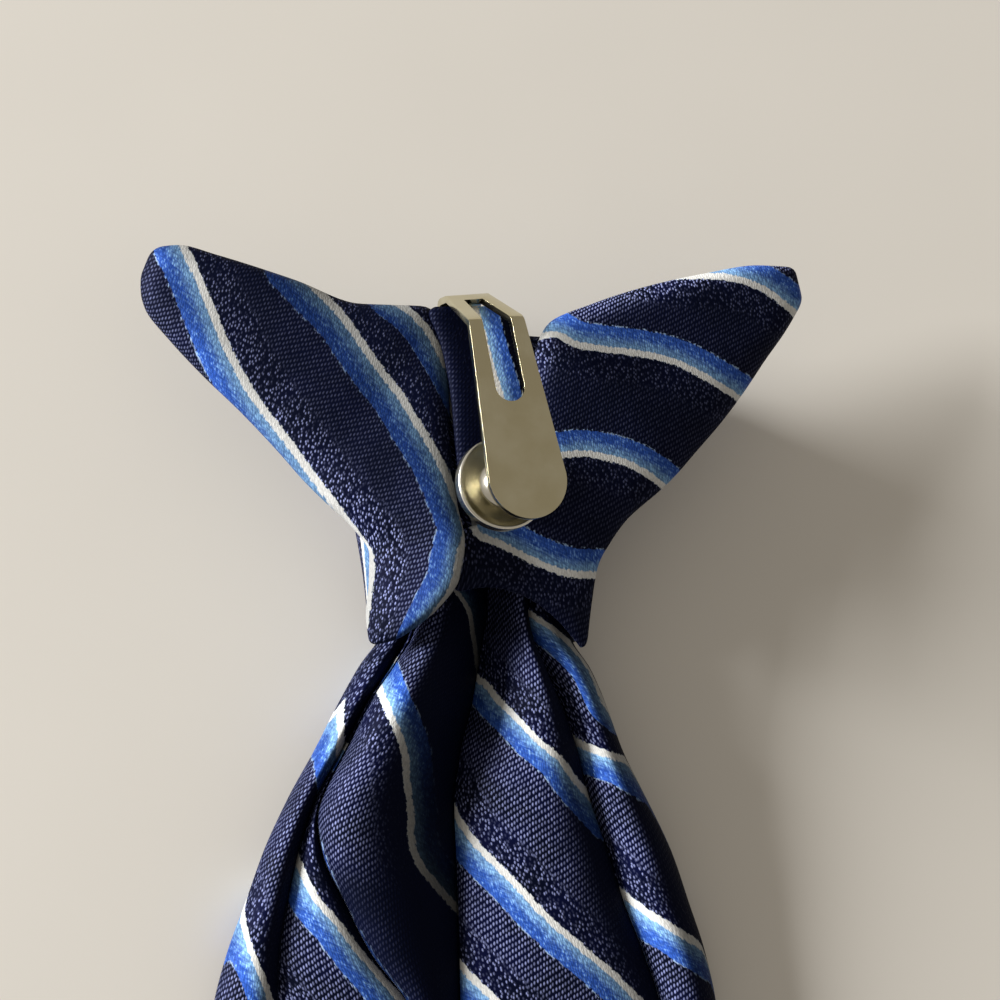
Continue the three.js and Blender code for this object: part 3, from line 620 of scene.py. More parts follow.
# Blade, in the columns named below: place down from the neck, spread, the creases' places and
# the heights of its edge, front, crests and creases
BLADE = [
    [-0.25, 0, -0.76, -0.7, 0.12, 0.56, 0.47, 0.165,
     0.56, 0.6, 0.74, 0.74, 0.62, 0.5, 0.5, 0.42, 0.55],
    [-0.045, 0, -0.74, -0.7, 0.13, 0.56, 0.47, 0.165,
     0.57, 0.62, 0.76, 0.75, 0.62, 0.5, 0.5, 0.38, 0.54],
    [-0.01, 0.061, -0.73, -0.7, 0.08, 0.54, 0.45, 0.14,
     0.64, 0.66, 0.86, 0.8, 0.7, 0.5, 0.5, 0.3, 0.54],
    [0.016, 0.147, -0.74, -0.72, 0.04, 0.56, 0.44, 0.11,
     0.68, 0.66, 0.94, 0.84, 0.78, 0.5, 0.5, 0.28, 0.54],
    [0.053, 0.237, -0.8, -0.785, 0, 0.62, 0.4, 0.06,
     0.66, 0.64, 0.96, 0.84, 0.82, 0.5, 0.5, 0.28, 0.54],
    [0.1, 0.34, -0.83, -0.81, -0.06, 0.672, 0.34, 0.03,
     0.6, 0.56, 0.88, 0.78, 0.76, 0.44, 0.46, 0.28, 0.5],
    [0.15, 0.472, -0.852, -0.825, -0.09, 0.65, 0.29, 0,
     0.54, 0.5, 0.78, 0.7, 0.7, 0.38, 0.42, 0.27, 0.44],
    [0.2, 0.588, -0.838, -0.734, -0.08, 0.66, 0.25, 0,
     0.49, 0.48, 0.68, 0.62, 0.63, 0.33, 0.4, 0.26, 0.38],
    [0.25, 0.673, -0.82, -0.573, -0.067, 0.68, 0.22, 0,
     0.45, 0.45, 0.6, 0.56, 0.57, 0.3, 0.37, 0.26, 0.34],
    [0.3, 0.756, -0.79, -0.42, -0.055, 0.72, 0.2, 0,
     0.42, 0.43, 0.53, 0.5, 0.52, 0.28, 0.34, 0.25, 0.31],
    [0.35, 0.811, -0.76, -0.25, -0.048, 0.755, 0.18, 0,
     0.39, 0.41, 0.46, 0.45, 0.48, 0.27, 0.32, 0.25, 0.29],
    [0.45, 0.864, -0.76, -0.12, -0.035, 0.77, 0.16, 0,
     0.35, 0.36, 0.36, 0.38, 0.41, 0.26, 0.29, 0.25, 0.27],
    [0.65, 0.9, -0.78, -0.1, -0.01, 0.78, 0.14, 0,
     0.3, 0.3, 0.29, 0.31, 0.33, 0.25, 0.25, 0.24, 0.25],
    [1, 0.921, -0.8, -0.1, 0, 0.8, 0.125, 0,
     0.25, 0.25, 0.25, 0.25, 0.25, 0.25, 0.25, 0.25, 0.25],
]
(DOWN, SPREAD, SIDE_CREASE, LEFT_CREASE, VALLEY, RIGHT_CREASE, EDGE_Z, FRONT_Z, ROLL_L1, ROLL_L3,
 ROLL_L2, ROLL_R1, ROLL_R2, SIDE_CREASE_Z, LEFT_CREASE_Z, VALLEY_Z, RIGHT_CREASE_Z) = range(17)
FLAT_SHARE = BLADE[-1][ROLL_L2]

# Each roll's crest, the heights it starts and ends at, its lean, its roundness and its guides
ROLLS = [
    (ROLL_L1, EDGE_Z, SIDE_CREASE_Z, 1, 0.55, L1_GUIDES),
    (ROLL_L3, SIDE_CREASE_Z, LEFT_CREASE_Z, 1.1, 0.55, L3_GUIDES),
    (ROLL_L2, LEFT_CREASE_Z, VALLEY_Z, 0.64, 0.72, L2_GUIDES),
    (ROLL_R1, VALLEY_Z, RIGHT_CREASE_Z, 1.35, 0.52, R1_GUIDES),
    (ROLL_R2, RIGHT_CREASE_Z, EDGE_Z, 1.15, 0.55, R2_GUIDES),
]
FLAP_ROLL = 3
TURNED_ROLL = 2
ROLL_POINTS = 20
GATHER_RINGS = 170
GATHER_EASE = 1.4
PLAIN_RINGS = 50
TIP_RINGS = 30
SIDE_POWER = 3
STRIPE_SLANT = math.radians(47)
BLADE_WEAVE_TURN = -28

# Places down the gather where its guides are read, lose their hold and, on the turned roll, meet
# the plain cloth's stripes, with the rings that the meeting takes
GUIDES_READ = (0.02, 0.3)
GUIDES_FADE = (0.34, 0.72)
STRIPES_MEET = (0.46, 0.62)
MEETING_RINGS = 10
# Points at the blade's side edges over which the guides take hold
EDGE_POINTS = 5
# A ring of the plain blade, by its place from the last
PLAIN_RING = -60

# The free flap leans further to the right by the knot, and the gather sways to the left
NECK_LEAN = 0.6
NECK_LEAN_END = 0.16
SWAY = 0.55
SWAY_PLACE = 0.11
SWAY_REACH = 0.08

# Painted shade on the turned roll, and the places across and down it where that starts and is
# full
VALLEY_SHADE = 0.88
VALLEY_ACROSS = (0.32, 0.68)
VALLEY_DOWN = (0.17, 0.25)

# The tuck under the free flap: how far right of the valley and how high over it, in mm
TUCK = [(0.9, 0.0), (1.8, 0.03), (1.86, 0.12), (1.8, 0.22), (0.9, 0.28), (0.35, 0.36),
        (0.02, 0.55), (0.0, 0.8)]
# The height over the valley up to which the tuck carries the stripes of the roll beside it
TUCK_BELOW = 0.15


def blade_stations():
    """Places down the blade: share of the gather, half width and y of each ring."""
    first = BLADE[0][DOWN]
    gather = first + (1 - first) * (np.arange(GATHER_RINGS + 1) / GATHER_RINGS) ** GATHER_EASE
    table = np.array(BLADE)
    spread = spline(table[:, DOWN], table[:, 1:], gather)[:, SPREAD - 1]
    inside = NECK_WIDTH / 2 - KNOT_WALL - SIDE_GAP
    half = lerp(inside, BLADE_WIDTH / 2, spread)
    y = -gather * GATHER_LENGTH
    plain_end = OVERALL_LENGTH - WING_RISE - TIP_HEIGHT
    share = np.arange(1, PLAIN_RINGS + 1) / PLAIN_RINGS
    half = np.concatenate([half, lerp(half[-1], BLADE_WIDTH / 2, share)])
    y = np.concatenate([y, -lerp(GATHER_LENGTH, plain_end, share)])
    share = np.arange(1, TIP_RINGS + 1) / TIP_RINGS
    half = np.concatenate([half, lerp(BLADE_WIDTH, POINT_WIDTH, share) / 2])
    y = np.concatenate([y, -plain_end - TIP_HEIGHT * share])
    down = np.minimum(np.concatenate([gather, np.ones(PLAIN_RINGS + TIP_RINGS)]), 1)
    return down, half, y


def met_stripes(placed, plain, down):
    """Stripes that run the other way down to a ring, and from there on like the plain cloth's."""
    apart = (placed - plain) / REPEAT
    middle = apart[:, apart.shape[1] // 2]
    low, high = STRIPES_MEET
    near = np.where((down > low) & (down < high), np.abs(middle - np.round(middle)), 1)
    ring = int(np.argmin(near))
    whole = np.round(middle[ring])
    left = 1 - smoothstep(0, MEETING_RINGS, np.arange(len(down)) - ring)
    rest = (apart[ring] - whole) * left[:, None]
    after = plain + (whole + rest) * REPEAT
    return np.where((np.arange(len(down)) > ring)[:, None], after, placed)


def make_blade():
    """The blade's piece, and its painted shade at each point."""
    down, half, y = blade_stations()
    table = np.array(BLADE)
    value = np.concatenate([down[:, None], spline(table[:, DOWN], table[:, 1:], down)], axis=1)
    full = lerp(GATHER_DEPTH, BLADE_THICKNESS / FLAT_SHARE, np.clip(down, 0, 1) ** 2)
    height = value * full[:, None]
    creases = [value[:, c] for c in (SIDE_CREASE, LEFT_CREASE, VALLEY, RIGHT_CREASE)]
    edges = [-np.ones(len(down)), *creases, np.ones(len(down))]
    front, edge = height[:, FRONT_Z], height[:, EDGE_Z]
    sway = -SWAY * np.exp(-(((down - SWAY_PLACE) / SWAY_REACH) ** 2))
    upper, lower, roll_of = [], [], []
    t = eased(ROLL_POINTS)
    for r, (crest_column, start_column, end_column, skew, roundness, _) in enumerate(ROLLS):
        free = r == FLAP_ROLL
        start = height[:, start_column] + (FLAP_STEP if free else 0)
        end = height[:, end_column]
        crest = height[:, crest_column] - (start + end) / 2
        first = edges[r] + (FLAP_LEAN / half if free else 0)
        if free:
            for aside, over in TUCK:
                x = edges[r] * half + sway + aside
                upper.append(np.stack([x, y, height[:, start_column] + over], axis=1))
                roll_of.append(r - 1 if over < TUCK_BELOW else r)
        lean = NECK_LEAN * (1 - smoothstep(0, NECK_LEAN_END, down)) if free else 0
        for k in range(0 if r == 0 or free else 1, ROLL_POINTS + 1):
            leaning = t[k] ** (skew + lean)
            arch = (4 * leaning * (1 - leaning)) ** roundness
            across = lerp(first, edges[r + 1], t[k])
            high = lerp(start, end, t[k]) + crest * arch
            upper.append(np.stack([across * half + sway, y, high], axis=1))
            roll_of.append(r)
            if free and k == 0:
                continue
            side = 1 - (1 - np.minimum(np.abs(across), 1) ** SIDE_POWER) ** (1 / SIDE_POWER)
            hollow = np.maximum(0, height[:, crest_column] - front - LAYER_THICKNESS)
            low = front + (edge - front) * side + hollow * GROOVE_SHARE * arch * (1 - side)
            lower.append(np.stack([across * half + sway, y, low], axis=1))
    count_up = len(upper)
    lower = lower[1:-1][::-1]
    rings = np.stack(upper + lower, axis=1)
    count = rings.shape[1]

    # Arc length round the section from the middle of the front, to each side of the valley
    section = rings[..., [0, 2]]
    step = np.linalg.norm(np.diff(section, axis=1, append=section[:, :1]), axis=2)
    turn = roll_of.index(FLAP_ROLL)
    middle = count_up + int(np.argmin(np.abs(rings[PLAIN_RING, count_up:, 0])))
    place = np.zeros(rings.shape[:2])
    walk_round(place, step, middle, turn, 1)
    walk_round(place, step, middle, count + turn - 1, -1)
    # Beyond the plain part the cloth runs straight to the tip's edges
    plain = len(rings) - 1 - TIP_RINGS
    inward = rings[plain:, :, 0] - rings[plain, :, 0]
    place[plain:] = place[plain] + np.where(np.arange(count) < count_up, -1, 1) * inward
    along = rings[..., 1]
    arc = -place * math.sin(STRIPE_SLANT) + along * math.cos(STRIPE_SLANT)

    # On each roll the stripes lie where the guides say, and return to the plain cloth lower down
    across = arc.copy()
    fade = 1 - smoothstep(*GUIDES_FADE, down)
    rolls = np.array(roll_of + [-1] * (count - count_up))
    for r, (*_, guides) in enumerate(ROLLS):
        here = np.where(rolls == r)[0]
        placed = stripe_across(rings[:, here], guides)
        read = (down > GUIDES_READ[0]) & (down < GUIDES_READ[1])
        gap = np.median((placed - arc[:, here])[read])
        placed = placed - round(gap / REPEAT) * REPEAT
        share = np.ones(len(here))
        if r == 0:
            share = smoothstep(0, EDGE_POINTS, np.arange(len(here)))
        if r == len(ROLLS) - 1:
            share = smoothstep(0, EDGE_POINTS, np.arange(len(here))[::-1])
        if r == TURNED_ROLL:
            across[:, here] = met_stripes(placed, arc[:, here], down)
            continue
        across[:, here] = lerp(arc[:, here], placed, fade[:, None] * share[None, :])
    # Each roll's weave spreads from its own middle
    sideways = -place
    for r in range(len(ROLLS)):
        here = np.where(rolls == r)[0]
        middle = (place[:, here[0]] + place[:, here[-1]]) / 2
        sideways[:, here] = middle[:, None] - place[:, here] - middle[PLAIN_RING]
    uvs = uv_maps(turned(sideways, along, BLADE_WEAVE_TURN), across, along)
    faces = ring_quads(len(rings), count)
    faces.append(list(range(count)))
    faces.append([(len(rings) - 1) * count + k for k in range(count)][::-1])
    # Along the tip's edges the thin side takes the back's stripes
    swaps = []
    for face, back, corners in ((count_up - 1, count_up - 1, (1, 2)), (count - 1, 0, (0, 3))):
        for ring in range(plain, len(rings) - 1):
            for row, corner in zip((ring, ring + 1), corners):
                swaps.append((4 * (ring * count + face) + corner, row * count + back))
    piece = add_cloth("blade_cloth", rings.reshape(-1, 3), faces, uvs, "blade", swaps=swaps)
    # Painted shade on the turned roll's side to the valley, which lies in the others' shade, and
    # on the whole roll lower down
    shade = np.ones(count)
    for k, j in enumerate(np.where(rolls == TURNED_ROLL)[0]):
        shade[j] = 1 - VALLEY_SHADE * smoothstep(*VALLEY_ACROSS, k / ROLL_POINTS)
    lower_shade = 1 - VALLEY_SHADE * smoothstep(*VALLEY_DOWN, down)
    shade = np.where(rolls == TURNED_ROLL, np.minimum(shade[None, :], lower_shade[:, None]), 1)
    shade = lerp(np.ones(rings.shape[:2]), shade, fade[:, None])
    return piece, shade.ravel()


# Materials
class Graph:
    """A material's node tree, built by small calls."""

    def __init__(self, name):
        self.material = bpy.data.materials.new(name)
        self.material.use_nodes = True
        self.tree = self.material.node_tree
        self.shader = self.tree.nodes["Principled BSDF"]

    def add(self, kind, inputs=(), **settings):
        node = self.tree.nodes.new("ShaderNode" + kind)
        for key, value in settings.items():
            setattr(node, key, value)
        for key, value in dict(inputs).items():
            self.put(node, key, value)
        return node

    def put(self, node, key, value):
        socket = node.inputs[key]
        if isinstance(value, bpy.types.NodeSocket):
            self.tree.links.new(value, socket)
        else:
            socket.default_value = value

    def math(self, operation, a, b=0.0, c=0.0, clamp=False):
        node = self.add("Math", {0: a, 1: b}, operation=operation, use_clamp=clamp)
        if operation in ("MULTIPLY_ADD", "WRAP"):
            self.put(node, 2, c)
        return node.outputs[0]

    def times(self, a, b):
        return self.math("MULTIPLY", a, b)

    def step(self, value, low, high, start=0.0, end=1.0):
        ends = {"From Min": low, "From Max": high, "To Min": start, "To Max": end}
        inputs = {"Value": value, **ends}
        return self.add("MapRange", inputs, interpolation_type="SMOOTHSTEP").outputs[0]

    def inside(self, value, low, high, soft):
        """1 between two values and 0 outside, with soft edges."""
        rise = self.step(value, low - soft, low + soft)
        fall = self.step(value, high - soft, high + soft, 1.0, 0.0)
        return self.times(rise, fall)

    def mix(self, share, a, b):
        return self.add("Mix", {0: share, 6: a, 7: b}, data_type="RGBA").outputs[2]

    def mix_value(self, share, a, b):
        return self.add("Mix", {0: share, 2: a, 3: b}, data_type="FLOAT").outputs[0]

    def scaled(self, vector, scale, turn=0.0):
        """The vector turned back by an angle and then scaled along its own axes."""
        inputs = {"Vector": vector, "Scale": [1 / s for s in scale], "Rotation": (0, 0, turn)}
        return self.add("Mapping", inputs, vector_type="TEXTURE").outputs[0]

    def noise(self, vector, scale, detail, roughness=0.5, dimensions="2D"):
        inputs = {"Vector": vector, "Scale": scale, "Detail": detail, "Roughness": roughness}
        return self.add("TexNoise", inputs, noise_dimensions=dimensions).outputs[0]

    def attribute(self, name):
        return self.add("Attribute", attribute_name=name).outputs["Fac"]

    def bump(self, height, strength, distance):
        inputs = {"Height": height, "Strength": strength, "Distance": distance}
        self.put(self.shader, "Normal", self.add("Bump", inputs).outputs[0])


def rgb(red, green, blue):
    """Linear colour from screen values of 0 to 255."""

    def linear(value):
        value /= 255
        return value / 12.92 if value <= 0.04045 else ((value + 0.055) / 1.055) ** 2.4

    return (linear(red), linear(green), linear(blue), 1.0)


GROUND = rgb(4, 8, 28)
# The ground's painted lit colour, used where the painted fleck light is strong
GROUND_PAINTED_LIT = rgb(7, 12, 48)
FLECK = rgb(132, 141, 190)
BLUE = rgb(52, 94, 192)
LIGHT = rgb(134, 180, 228)
WHITE = rgb(228, 230, 230)
TICK = rgb(165, 192, 226)

# Lattices of flecks: how many stand in a mm each way, the lattice's turn, how far its points are
# scattered, and the flecks' slant and stretch
GRID_FLECKS = ((2.0, 1.56, 1.0), 0, 0.2, 36, (0.6, 1.12, 1.0))
CREPE_FLECKS = ((2.1, 1.9, 1.0), 20, 1.0, 40, (0.68, 1.1, 1.0))
BAND_THREADS = ((3.3, 1.6, 1.0), -20, 0.8, 90, (0.8, 1.0, 1.0))

# Soft edges in mm of the band, its white line and the crepe, and how far an edge wanders
BAND_SOFT, WHITE_SOFT, CREPE_SOFT = 0.06, 0.1, 0.6
RAGGED_GAIN, NOTCH_GAIN, WANDER_BACK = 0.26, 0.22, -0.24
REPEAT_FROM = -BAND_WIDE - 0.6
LIGHT_FROM, LIGHT_TO = -BAND_WIDE + 0.9, -WHITE_WIDE + 0.1
TICK_FROM, TICK_TO = -BAND_WIDE - 0.12, -BAND_WIDE + 0.08
CREPE_FROM = -BAND_WIDE + 0.3

# Noises over the cloth: scale, detail and roughness
RAGGED = (2.6, 1.0)
CLOUD = (0.16, 2.0)
STREAK = (1.0, 2.0, 0.65)
STREAK_PLACE = ((0.7, 3.6, 1.0), math.radians(-52))

# Ramps: from, to and, where not 0 to 1, the values there
GRID_SPOT, GRID_OWN = (0.1, 0.36, 1.0, 0.0), (0.0, 1.0, 0.6, 1.2)
CREPE_SPOT, CREPE_OWN, CREPE_ENDS = (0.08, 0.4, 1.0, 0.0), (0.1, 0.9), (0.1, 1.35)
CLOUD_RAMP, CLOUD_SHINE = (0.3, 0.7), (0.3, 0.7, 0.8, 1.1)
PAINTED_GLINT_OWN, PAINTED_GLINT_SPOT = (0.6, 0.85), (0.1, 0.4, 1.0, 0.0)
TONE_SPOT, TONE_OWN = (0.1, 0.6, 1.16, 0.76), (0.0, 1.0, 0.88, 1.14)
TONE_STREAK = (0.25, 0.75, 0.86, 1.14)
WHITE_TONE = (0.6, 1.2, 0.84, 1.04)
TICK_OWN = (0.5, 0.7)

# Powers on the painted light of the flecks and of the white line
SHINE_POWER, WHITE_POWER = 1.3, 0.65
PAINTED_GLINT_GAIN, STREAK_GAIN, STREAK_BACK, TICK_GAIN = 0.55, 1.2, -0.64, 0.75
GROUND_ROUGH, FLECK_ROUGH, BAND_ROUGH = 0.62, 0.48, 0.42
CLOTH_SPECULAR = 0.035
BAND_RELIEF, RAGGED_RELIEF = 0.8, 0.25
CLOTH_BUMP = (0.5, 0.00012)


def make_flecks(g, cloth, pitch, turn, scatter, slant, stretch):
    """Distance from the slanting flecks of a lattice, and a random number for each fleck."""
    place = g.scaled(cloth, pitch, math.radians(turn))
    node = g.add("TexVoronoi", {"Vector": place, "Scale": 1.0, "Randomness": scatter},
                 voronoi_dimensions="2D")
    away = g.add("VectorMath", {0: place, 1: node.outputs["Position"]},
                 operation="SUBTRACT").outputs[0]
    away = g.scaled(away, stretch, math.radians(slant))
    reach = g.add("VectorMath", {0: away}, operation="LENGTH").outputs["Value"]
    own = g.add("SeparateColor", {0: node.outputs["Color"]}).outputs[0]
    return reach, own


def make_cloth(name, crepe_gain):
    g = Graph(name)
    cloth = g.add("UVMap", uv_map="cloth").outputs[0]
    stripe = g.add("UVMap", uv_map="stripe").outputs[0]
    across = g.add("SeparateXYZ", {0: stripe}).outputs[0]
    painted_fleck_light, painted_band_light = g.attribute("painted_fleck_light"), g.attribute("painted_band_light")

    # Short satin threads of the bands, which also notch their edges
    thread_reach, thread_own = make_flecks(g, cloth, *BAND_THREADS)
    ragged = g.noise(cloth, *RAGGED)
    notch = g.math("MULTIPLY_ADD", thread_own, NOTCH_GAIN, WANDER_BACK)
    moved = g.math("ADD", across, g.math("MULTIPLY_ADD", ragged, RAGGED_GAIN, notch))
    # Place in the repeat: below 0 the band up to its white line, above 0 the dark cloth
    place = g.math("WRAP", moved, REPEAT + REPEAT_FROM, REPEAT_FROM)
    white = g.inside(place, -WHITE_WIDE, 0.0, WHITE_SOFT)
    light = g.step(place, LIGHT_FROM, LIGHT_TO)
    band = g.inside(place, -BAND_WIDE, 0.0, BAND_SOFT)
    tick_zone = g.inside(place, TICK_FROM, TICK_TO, BAND_SOFT)
    crepe_zone = g.inside(place, CREPE_FROM, CREPE_WIDE, CREPE_SOFT)

    # Regular slanting flecks of the plain ground, and pebbly ones beside the white line
    reach, own = make_flecks(g, cloth, *GRID_FLECKS)
    grid_fleck = g.times(g.step(reach, *GRID_SPOT), g.step(own, *GRID_OWN))
    reach, own = make_flecks(g, cloth, *CREPE_FLECKS)
    ends = [end * crepe_gain for end in CREPE_ENDS]
    crepe_fleck = g.times(g.step(reach, *CREPE_SPOT), g.step(own, *CREPE_OWN, *ends))
    fleck = g.mix_value(crepe_zone, grid_fleck, crepe_fleck)

    # Painted light on the flecks and a painted lit ground, from the painted fleck light, changed
    # in clouds
    cloud = g.noise(cloth, *CLOUD)
    painted_fleck_shine = g.times(g.math("POWER", painted_fleck_light, SHINE_POWER), g.step(cloud, *CLOUD_SHINE))
    painted_lit_ground = g.mix(g.times(painted_fleck_light, g.step(cloud, *CLOUD_RAMP)), GROUND, GROUND_PAINTED_LIT)
    dark = g.mix(g.times(fleck, painted_fleck_shine), painted_lit_ground, FLECK)

    # The band lightens from its outer edge to the white line, with painted glints on random satin
    # threads
    streak = g.noise(g.scaled(cloth, *STREAK_PLACE), *STREAK)
    painted_glint = g.times(g.step(thread_own, *PAINTED_GLINT_OWN), g.step(thread_reach, *PAINTED_GLINT_SPOT))
    streaks = g.math("MULTIPLY_ADD", streak, STREAK_GAIN, STREAK_BACK)
    varied = g.math("MULTIPLY_ADD", painted_glint, PAINTED_GLINT_GAIN, streaks)
    blue = g.mix(g.math("ADD", light, varied, clamp=True), BLUE, LIGHT)
    tone = g.times(g.step(thread_reach, *TONE_SPOT),
                   g.times(g.step(thread_own, *TONE_OWN), g.step(streak, *TONE_STREAK)))
    coloured = g.mix(white, blue, WHITE)
    # Painted light on the band and its white line: their colour is scaled by the painted band
    # light and by the threads' tone
    white_painted_light = g.times(g.math("POWER", painted_band_light, WHITE_POWER), g.step(tone, *WHITE_TONE))
    depth = g.mix_value(white, g.times(painted_band_light, tone), white_painted_light)
    shaded = g.add("VectorMath", {0: coloured, 3: depth}, operation="SCALE").outputs[0]
    colour = g.mix(band, dark, shaded)
    # Pale ends of threads along the band's outer edge, scaled by the painted band light
    tick = g.times(g.times(tick_zone, g.step(thread_own, *TICK_OWN)), g.times(painted_band_light, TICK_GAIN))
    g.put(g.shader, "Base Color", g.mix(tick, colour, TICK))

    ground_rough = g.mix_value(fleck, GROUND_ROUGH, FLECK_ROUGH)
    g.put(g.shader, "Roughness", g.mix_value(band, ground_rough, BAND_ROUGH))
    g.put(g.shader, "Specular IOR Level", CLOTH_SPECULAR)
    relief = g.mix_value(band, fleck, g.times(tone, BAND_RELIEF))
    g.bump(g.math("MULTIPLY_ADD", ragged, RAGGED_RELIEF, relief), *CLOTH_BUMP)
    return g.material


# Nickel, in the noise's units of a metre: the last two rows hold the tints and how rough it is
SMEAR = (160.0, 4.0)
SMEAR_TINT, SMEAR_GLOSS = (0.35, 0.7), (0.3, 0.75)
BRUSH_PLACE = (900, 120, 900)
BRUSH = (3.0, 2.0)
BRUSH_BUMP = (0.06, 0.00003)
SPRING_NICKEL = (rgb(200, 192, 160), rgb(211, 205, 177), (0.13, 0.24))
BUTTON_NICKEL = (rgb(224, 221, 208), rgb(236, 234, 224), (0.16, 0.26))


def make_nickel(name, low, high, gloss):
    g = Graph(name)
    where = g.add("TexCoord").outputs["Object"]
    smear = g.noise(where, *SMEAR, dimensions="3D")
    g.put(g.shader, "Base Color", g.mix(g.step(smear, *SMEAR_TINT), low, high))
    g.put(g.shader, "Roughness", g.step(smear, *SMEAR_GLOSS, *gloss))
    g.put(g.shader, "Metallic", 1.0)
    g.bump(g.noise(g.scaled(where, BRUSH_PLACE), *BRUSH, dimensions="3D"), *BRUSH_BUMP)
    return g.material


def dress(piece, material):
    piece.data.materials.clear()
    piece.data.materials.append(material)


# Clip: welding distances in m, angles in degrees that count as flat, sharp or smooth, and the
# rounding of the spring's edges in mm
SPRING_WELD, BUTTON_WELD = 2e-6, 1e-7
FLAT_ANGLE, SHARP_ANGLE, SPRING_SMOOTH, BUTTON_SMOOTH = 1.5, 40, 32, 40
SPRING_BEVEL, BEVEL_SEGMENTS = 0.16, 3


def make_spring():
    """A copy of the CAD's faceted spring with rounded edges."""
    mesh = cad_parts["clip_spring"].data.copy()
    mesh.name = "spring"
    work = bmesh.new()
    work.from_mesh(mesh)
    bmesh.ops.remove_doubles(work, verts=work.verts, dist=SPRING_WELD)
    bmesh.ops.dissolve_limit(work, angle_limit=math.radians(FLAT_ANGLE), verts=work.verts,
                             edges=work.edges)
    sharp = [e for e in work.edges if len(e.link_faces) == 2
             and e.calc_face_angle(0) > math.radians(SHARP_ANGLE)]
    bmesh.ops.bevel(work, geom=sharp, offset=SPRING_BEVEL * MM, segments=BEVEL_SEGMENTS,
                    profile=0.5, affect="EDGES", clamp_overlap=True)
    return add_object("spring", mesh, work, "clip_spring", SPRING_SMOOTH)


# Steps of the button's roundings and dish, its sides, how far its dish rises to the boss, the
# boss's foot and top fillets, and the small steps at its rim and on its top
ROUND_STEPS = 6
DISH_STEPS = 8
BUTTON_SIDES = 96
DISH_RISE = 0.6
BOSS_FOOT = 0.3
BOSS_EDGE = 0.45
RIM_STEP = 0.02
BOSS_CROWN = (0.03, 0.04)


def make_button():
    """The button with its post, turned from a profile of radii and heights."""
    radius = BUTTON_DIAMETER / 2
    top = BUTTON_STAND + BUTTON_THICKNESS
    leg_top = -BAND_THICKNESS - PIN_GAP
    profile = [(0, leg_top - SHEET), (POST_DIAMETER / 2, leg_top - SHEET)]
    profile += [(POST_DIAMETER / 2, BUTTON_STAND)]
    for start, z in ((-math.pi / 2, BUTTON_STAND + EDGE_ROUND), (0, top - EDGE_ROUND)):
        for k in range(ROUND_STEPS + 1):
            a = start + math.pi / 2 * k / ROUND_STEPS
            profile.append((radius - EDGE_ROUND + EDGE_ROUND * math.cos(a),
                            z + EDGE_ROUND * math.sin(a)))
    # A thin rim, a shallow dish and a boss in the middle
    inner = radius - BUTTON_RIM
    profile += [(radius - BUTTON_RIM / 2, top - RIM_STEP), (inner, top - BUTTON_DISH)]
    for k in range(1, DISH_STEPS + 1):
        r = lerp(inner, BOSS_RADIUS + BOSS_FOOT, k / DISH_STEPS)
        profile.append((r, top - BUTTON_DISH * (1 - DISH_RISE * k / DISH_STEPS)))
    foot = top - BUTTON_DISH * (1 - DISH_RISE)
    for k in range(1, ROUND_STEPS + 1):
        a = math.pi / 2 * k / ROUND_STEPS
        r = BOSS_RADIUS - BOSS_EDGE * math.sin(a) + BOSS_FOOT * (1 - k / ROUND_STEPS) ** 2
        profile.append((r, foot + BOSS_RISE * (1 - math.cos(a)) ** 0.5))
    profile += [(r, foot + BOSS_RISE + up) for r, up in zip((BOSS_RADIUS / 2, 0), BOSS_CROWN)]
    turn = Matrix.Rotation(CLIP_TURN, 4, "Z") @ Matrix.Rotation(CLIP_LEAN, 4, "Y")
    place = Matrix.Translation(Vector(metres((CLIP_X, CLIP_Y, BAND_TOP)))) @ turn
    place = place @ Matrix.Scale(MM, 4)
    points = []
    for r, z in profile:
        for j in range(BUTTON_SIDES):
            a = 2 * math.pi * j / BUTTON_SIDES
            x, y = r * math.cos(a) + BUTTON_ASIDE, r * math.sin(a) + BUTTON_ALONG
            points.append(tuple(place @ Vector((x, y, z))))
    mesh = bpy.data.meshes.new("button")
    mesh.from_pydata(points, [], ring_quads(len(profile), BUTTON_SIDES))
    work = bmesh.new()
    work.from_mesh(mesh)
    bmesh.ops.remove_doubles(work, verts=work.verts, dist=BUTTON_WELD)
    bmesh.ops.dissolve_degenerate(work, dist=BUTTON_WELD, edges=work.edges)
    bmesh.ops.recalc_face_normals(work, faces=work.faces)
    return add_object("button", mesh, work, "clip_button", BUTTON_SMOOTH)


# Painted light for each piece: the way its cloth faces when it is painted brightest, the ramp to
# it, and the least and most painted light of its flecks and of its bands
UNDERSIDE_CATCH = 0.7
UNDERSIDE_RAMP = (0.1, 0.5)
# The lamp's way, and the ramp and share by which painted shade lowers the painted light facing it
LIGHT_WAY = np.array([-0.945, 0.2, 0.26])
GLARE_RAMP = (0.72, 1.0)
GLARE_LOSS = 0.5
CREPE_GAIN = {"wing_left": 2.6, "wing_right": 1.9}
PAINTED_LIGHT = {
    "blade": ((-0.85, 0.0, 0.53), 0.2, 0.66, (0.03, 0.98), (0.22, 1.05)),
    "knot_wrap": ((-0.8, 0.0, 0.6), 0.2, 0.8, (0.05, 0.9), (0.4, 0.8)),
    "wing_left": ((-0.8, -0.3, 0.52), 0.52, 0.94, (0.13, 0.5), (0.2, 0.5)),
    "wing_right": ((-0.45, 0.85, 0.25), 0.24, 0.7, (0.16, 1.2), (0.58, 0.95)),
    "centre_band": ((-0.8, 0.0, 0.6), 0.5, 0.95, (0.03, 0.2), (1.5, 1.8)),
}

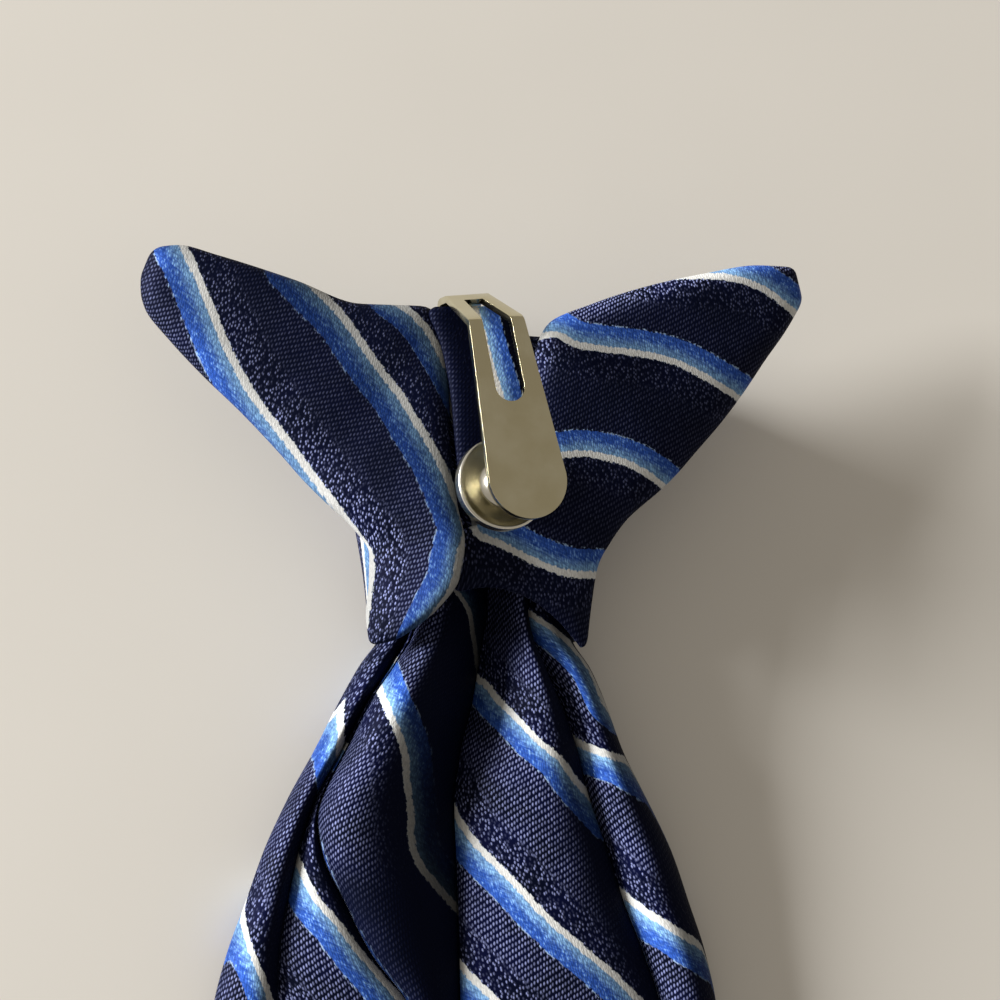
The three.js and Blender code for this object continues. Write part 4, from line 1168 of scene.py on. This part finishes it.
blade, blade_shade = make_blade()
sleeve = make_knot_wrap()
wing_left, wing_tip_light = make_wing("wing_left", LEFT_WING, LEFT_WING_GUIDES, LEFT_WEAVE_TURN)
wing_right, _ = make_wing("wing_right", RIGHT_WING, RIGHT_WING_GUIDES, RIGHT_WEAVE_TURN)
strap = make_centre_band()
for piece, shade, share, slot in ((blade, blade_shade, 1, "blade"), (sleeve, 1, 1, "knot_wrap"),
                                  (wing_left, 1, wing_tip_light, "wing_left"),
                                  (wing_right, 1, 1, "wing_right"), (strap, 1, 1, "centre_band")):
    add_painted_light(piece, shade, share, *PAINTED_LIGHT[slot])
    dress(piece, make_cloth(slot + "_weave", CREPE_GAIN.get(slot, 1.0)))
dress(make_spring(), make_nickel("spring_nickel", *SPRING_NICKEL))
dress(make_button(), make_nickel("button_nickel", *BUTTON_NICKEL))


# Stage
FLOOR_HALF = 3.0
MOTTLE, MOTTLE_RAMP = (9.0, 3.0), (0.3, 0.7)
FLOOR_LOW, FLOOR_HIGH = rgb(217, 214, 208), rgb(222, 219, 213)
FLOOR_ROUGH = 0.6


def make_stage():
    mesh = bpy.data.meshes.new("floor")
    signs = ((-1, -1), (1, -1), (1, 1), (-1, 1))
    mesh.from_pydata([(x * FLOOR_HALF, y * FLOOR_HALF, 0) for x, y in signs], [], [[0, 1, 2, 3]])
    floor = link("floor", mesh)
    g = Graph("pale_floor")
    where = g.add("TexCoord").outputs["Object"]
    mottle = g.step(g.noise(where, *MOTTLE, dimensions="3D"), *MOTTLE_RAMP)
    g.put(g.shader, "Base Color", g.mix(mottle, FLOOR_LOW, FLOOR_HIGH))
    g.put(g.shader, "Roughness", FLOOR_ROUGH)
    floor.data.materials.append(g.material)


LIGHT_AZIMUTH = math.radians(168)
LIGHT_ELEVATION = math.radians(15)
LIGHT_DISTANCE = 2.0
LIGHT_SIZE = 0.75
LIGHT_POWER = 96.0
LIGHT_COLOUR = (1.0, 0.985, 0.955)
LIGHT_TARGET = (0, 10, 10)
ROOM_COLOUR = (1.0, 0.91, 0.79, 1)
ROOM_STRENGTH = 0.34


def make_light():
    """A low window to the left, and a weak warm room."""
    centre = metres(LIGHT_TARGET)
    low = LIGHT_DISTANCE * math.cos(LIGHT_ELEVATION)
    away = np.array([low * math.cos(LIGHT_AZIMUTH), low * math.sin(LIGHT_AZIMUTH),
                     LIGHT_DISTANCE * math.sin(LIGHT_ELEVATION)])
    data = bpy.data.lights.new("window", "AREA")
    data.shape = "RECTANGLE"
    data.size = data.size_y = LIGHT_SIZE
    data.energy = LIGHT_POWER
    data.color = LIGHT_COLOUR
    light = link("window", data)
    light.location = Vector(centre + away)
    light.rotation_euler = Vector(-away).to_track_quat("-Z", "Y").to_euler()
    world = bpy.data.worlds.new("room")
    world.use_nodes = True
    colour, strength = world.node_tree.nodes["Background"].inputs[:2]
    colour.default_value, strength.default_value = ROOM_COLOUR, ROOM_STRENGTH
    scene.world = world
    scene.view_settings.view_transform = "Standard"


make_stage()
make_light()
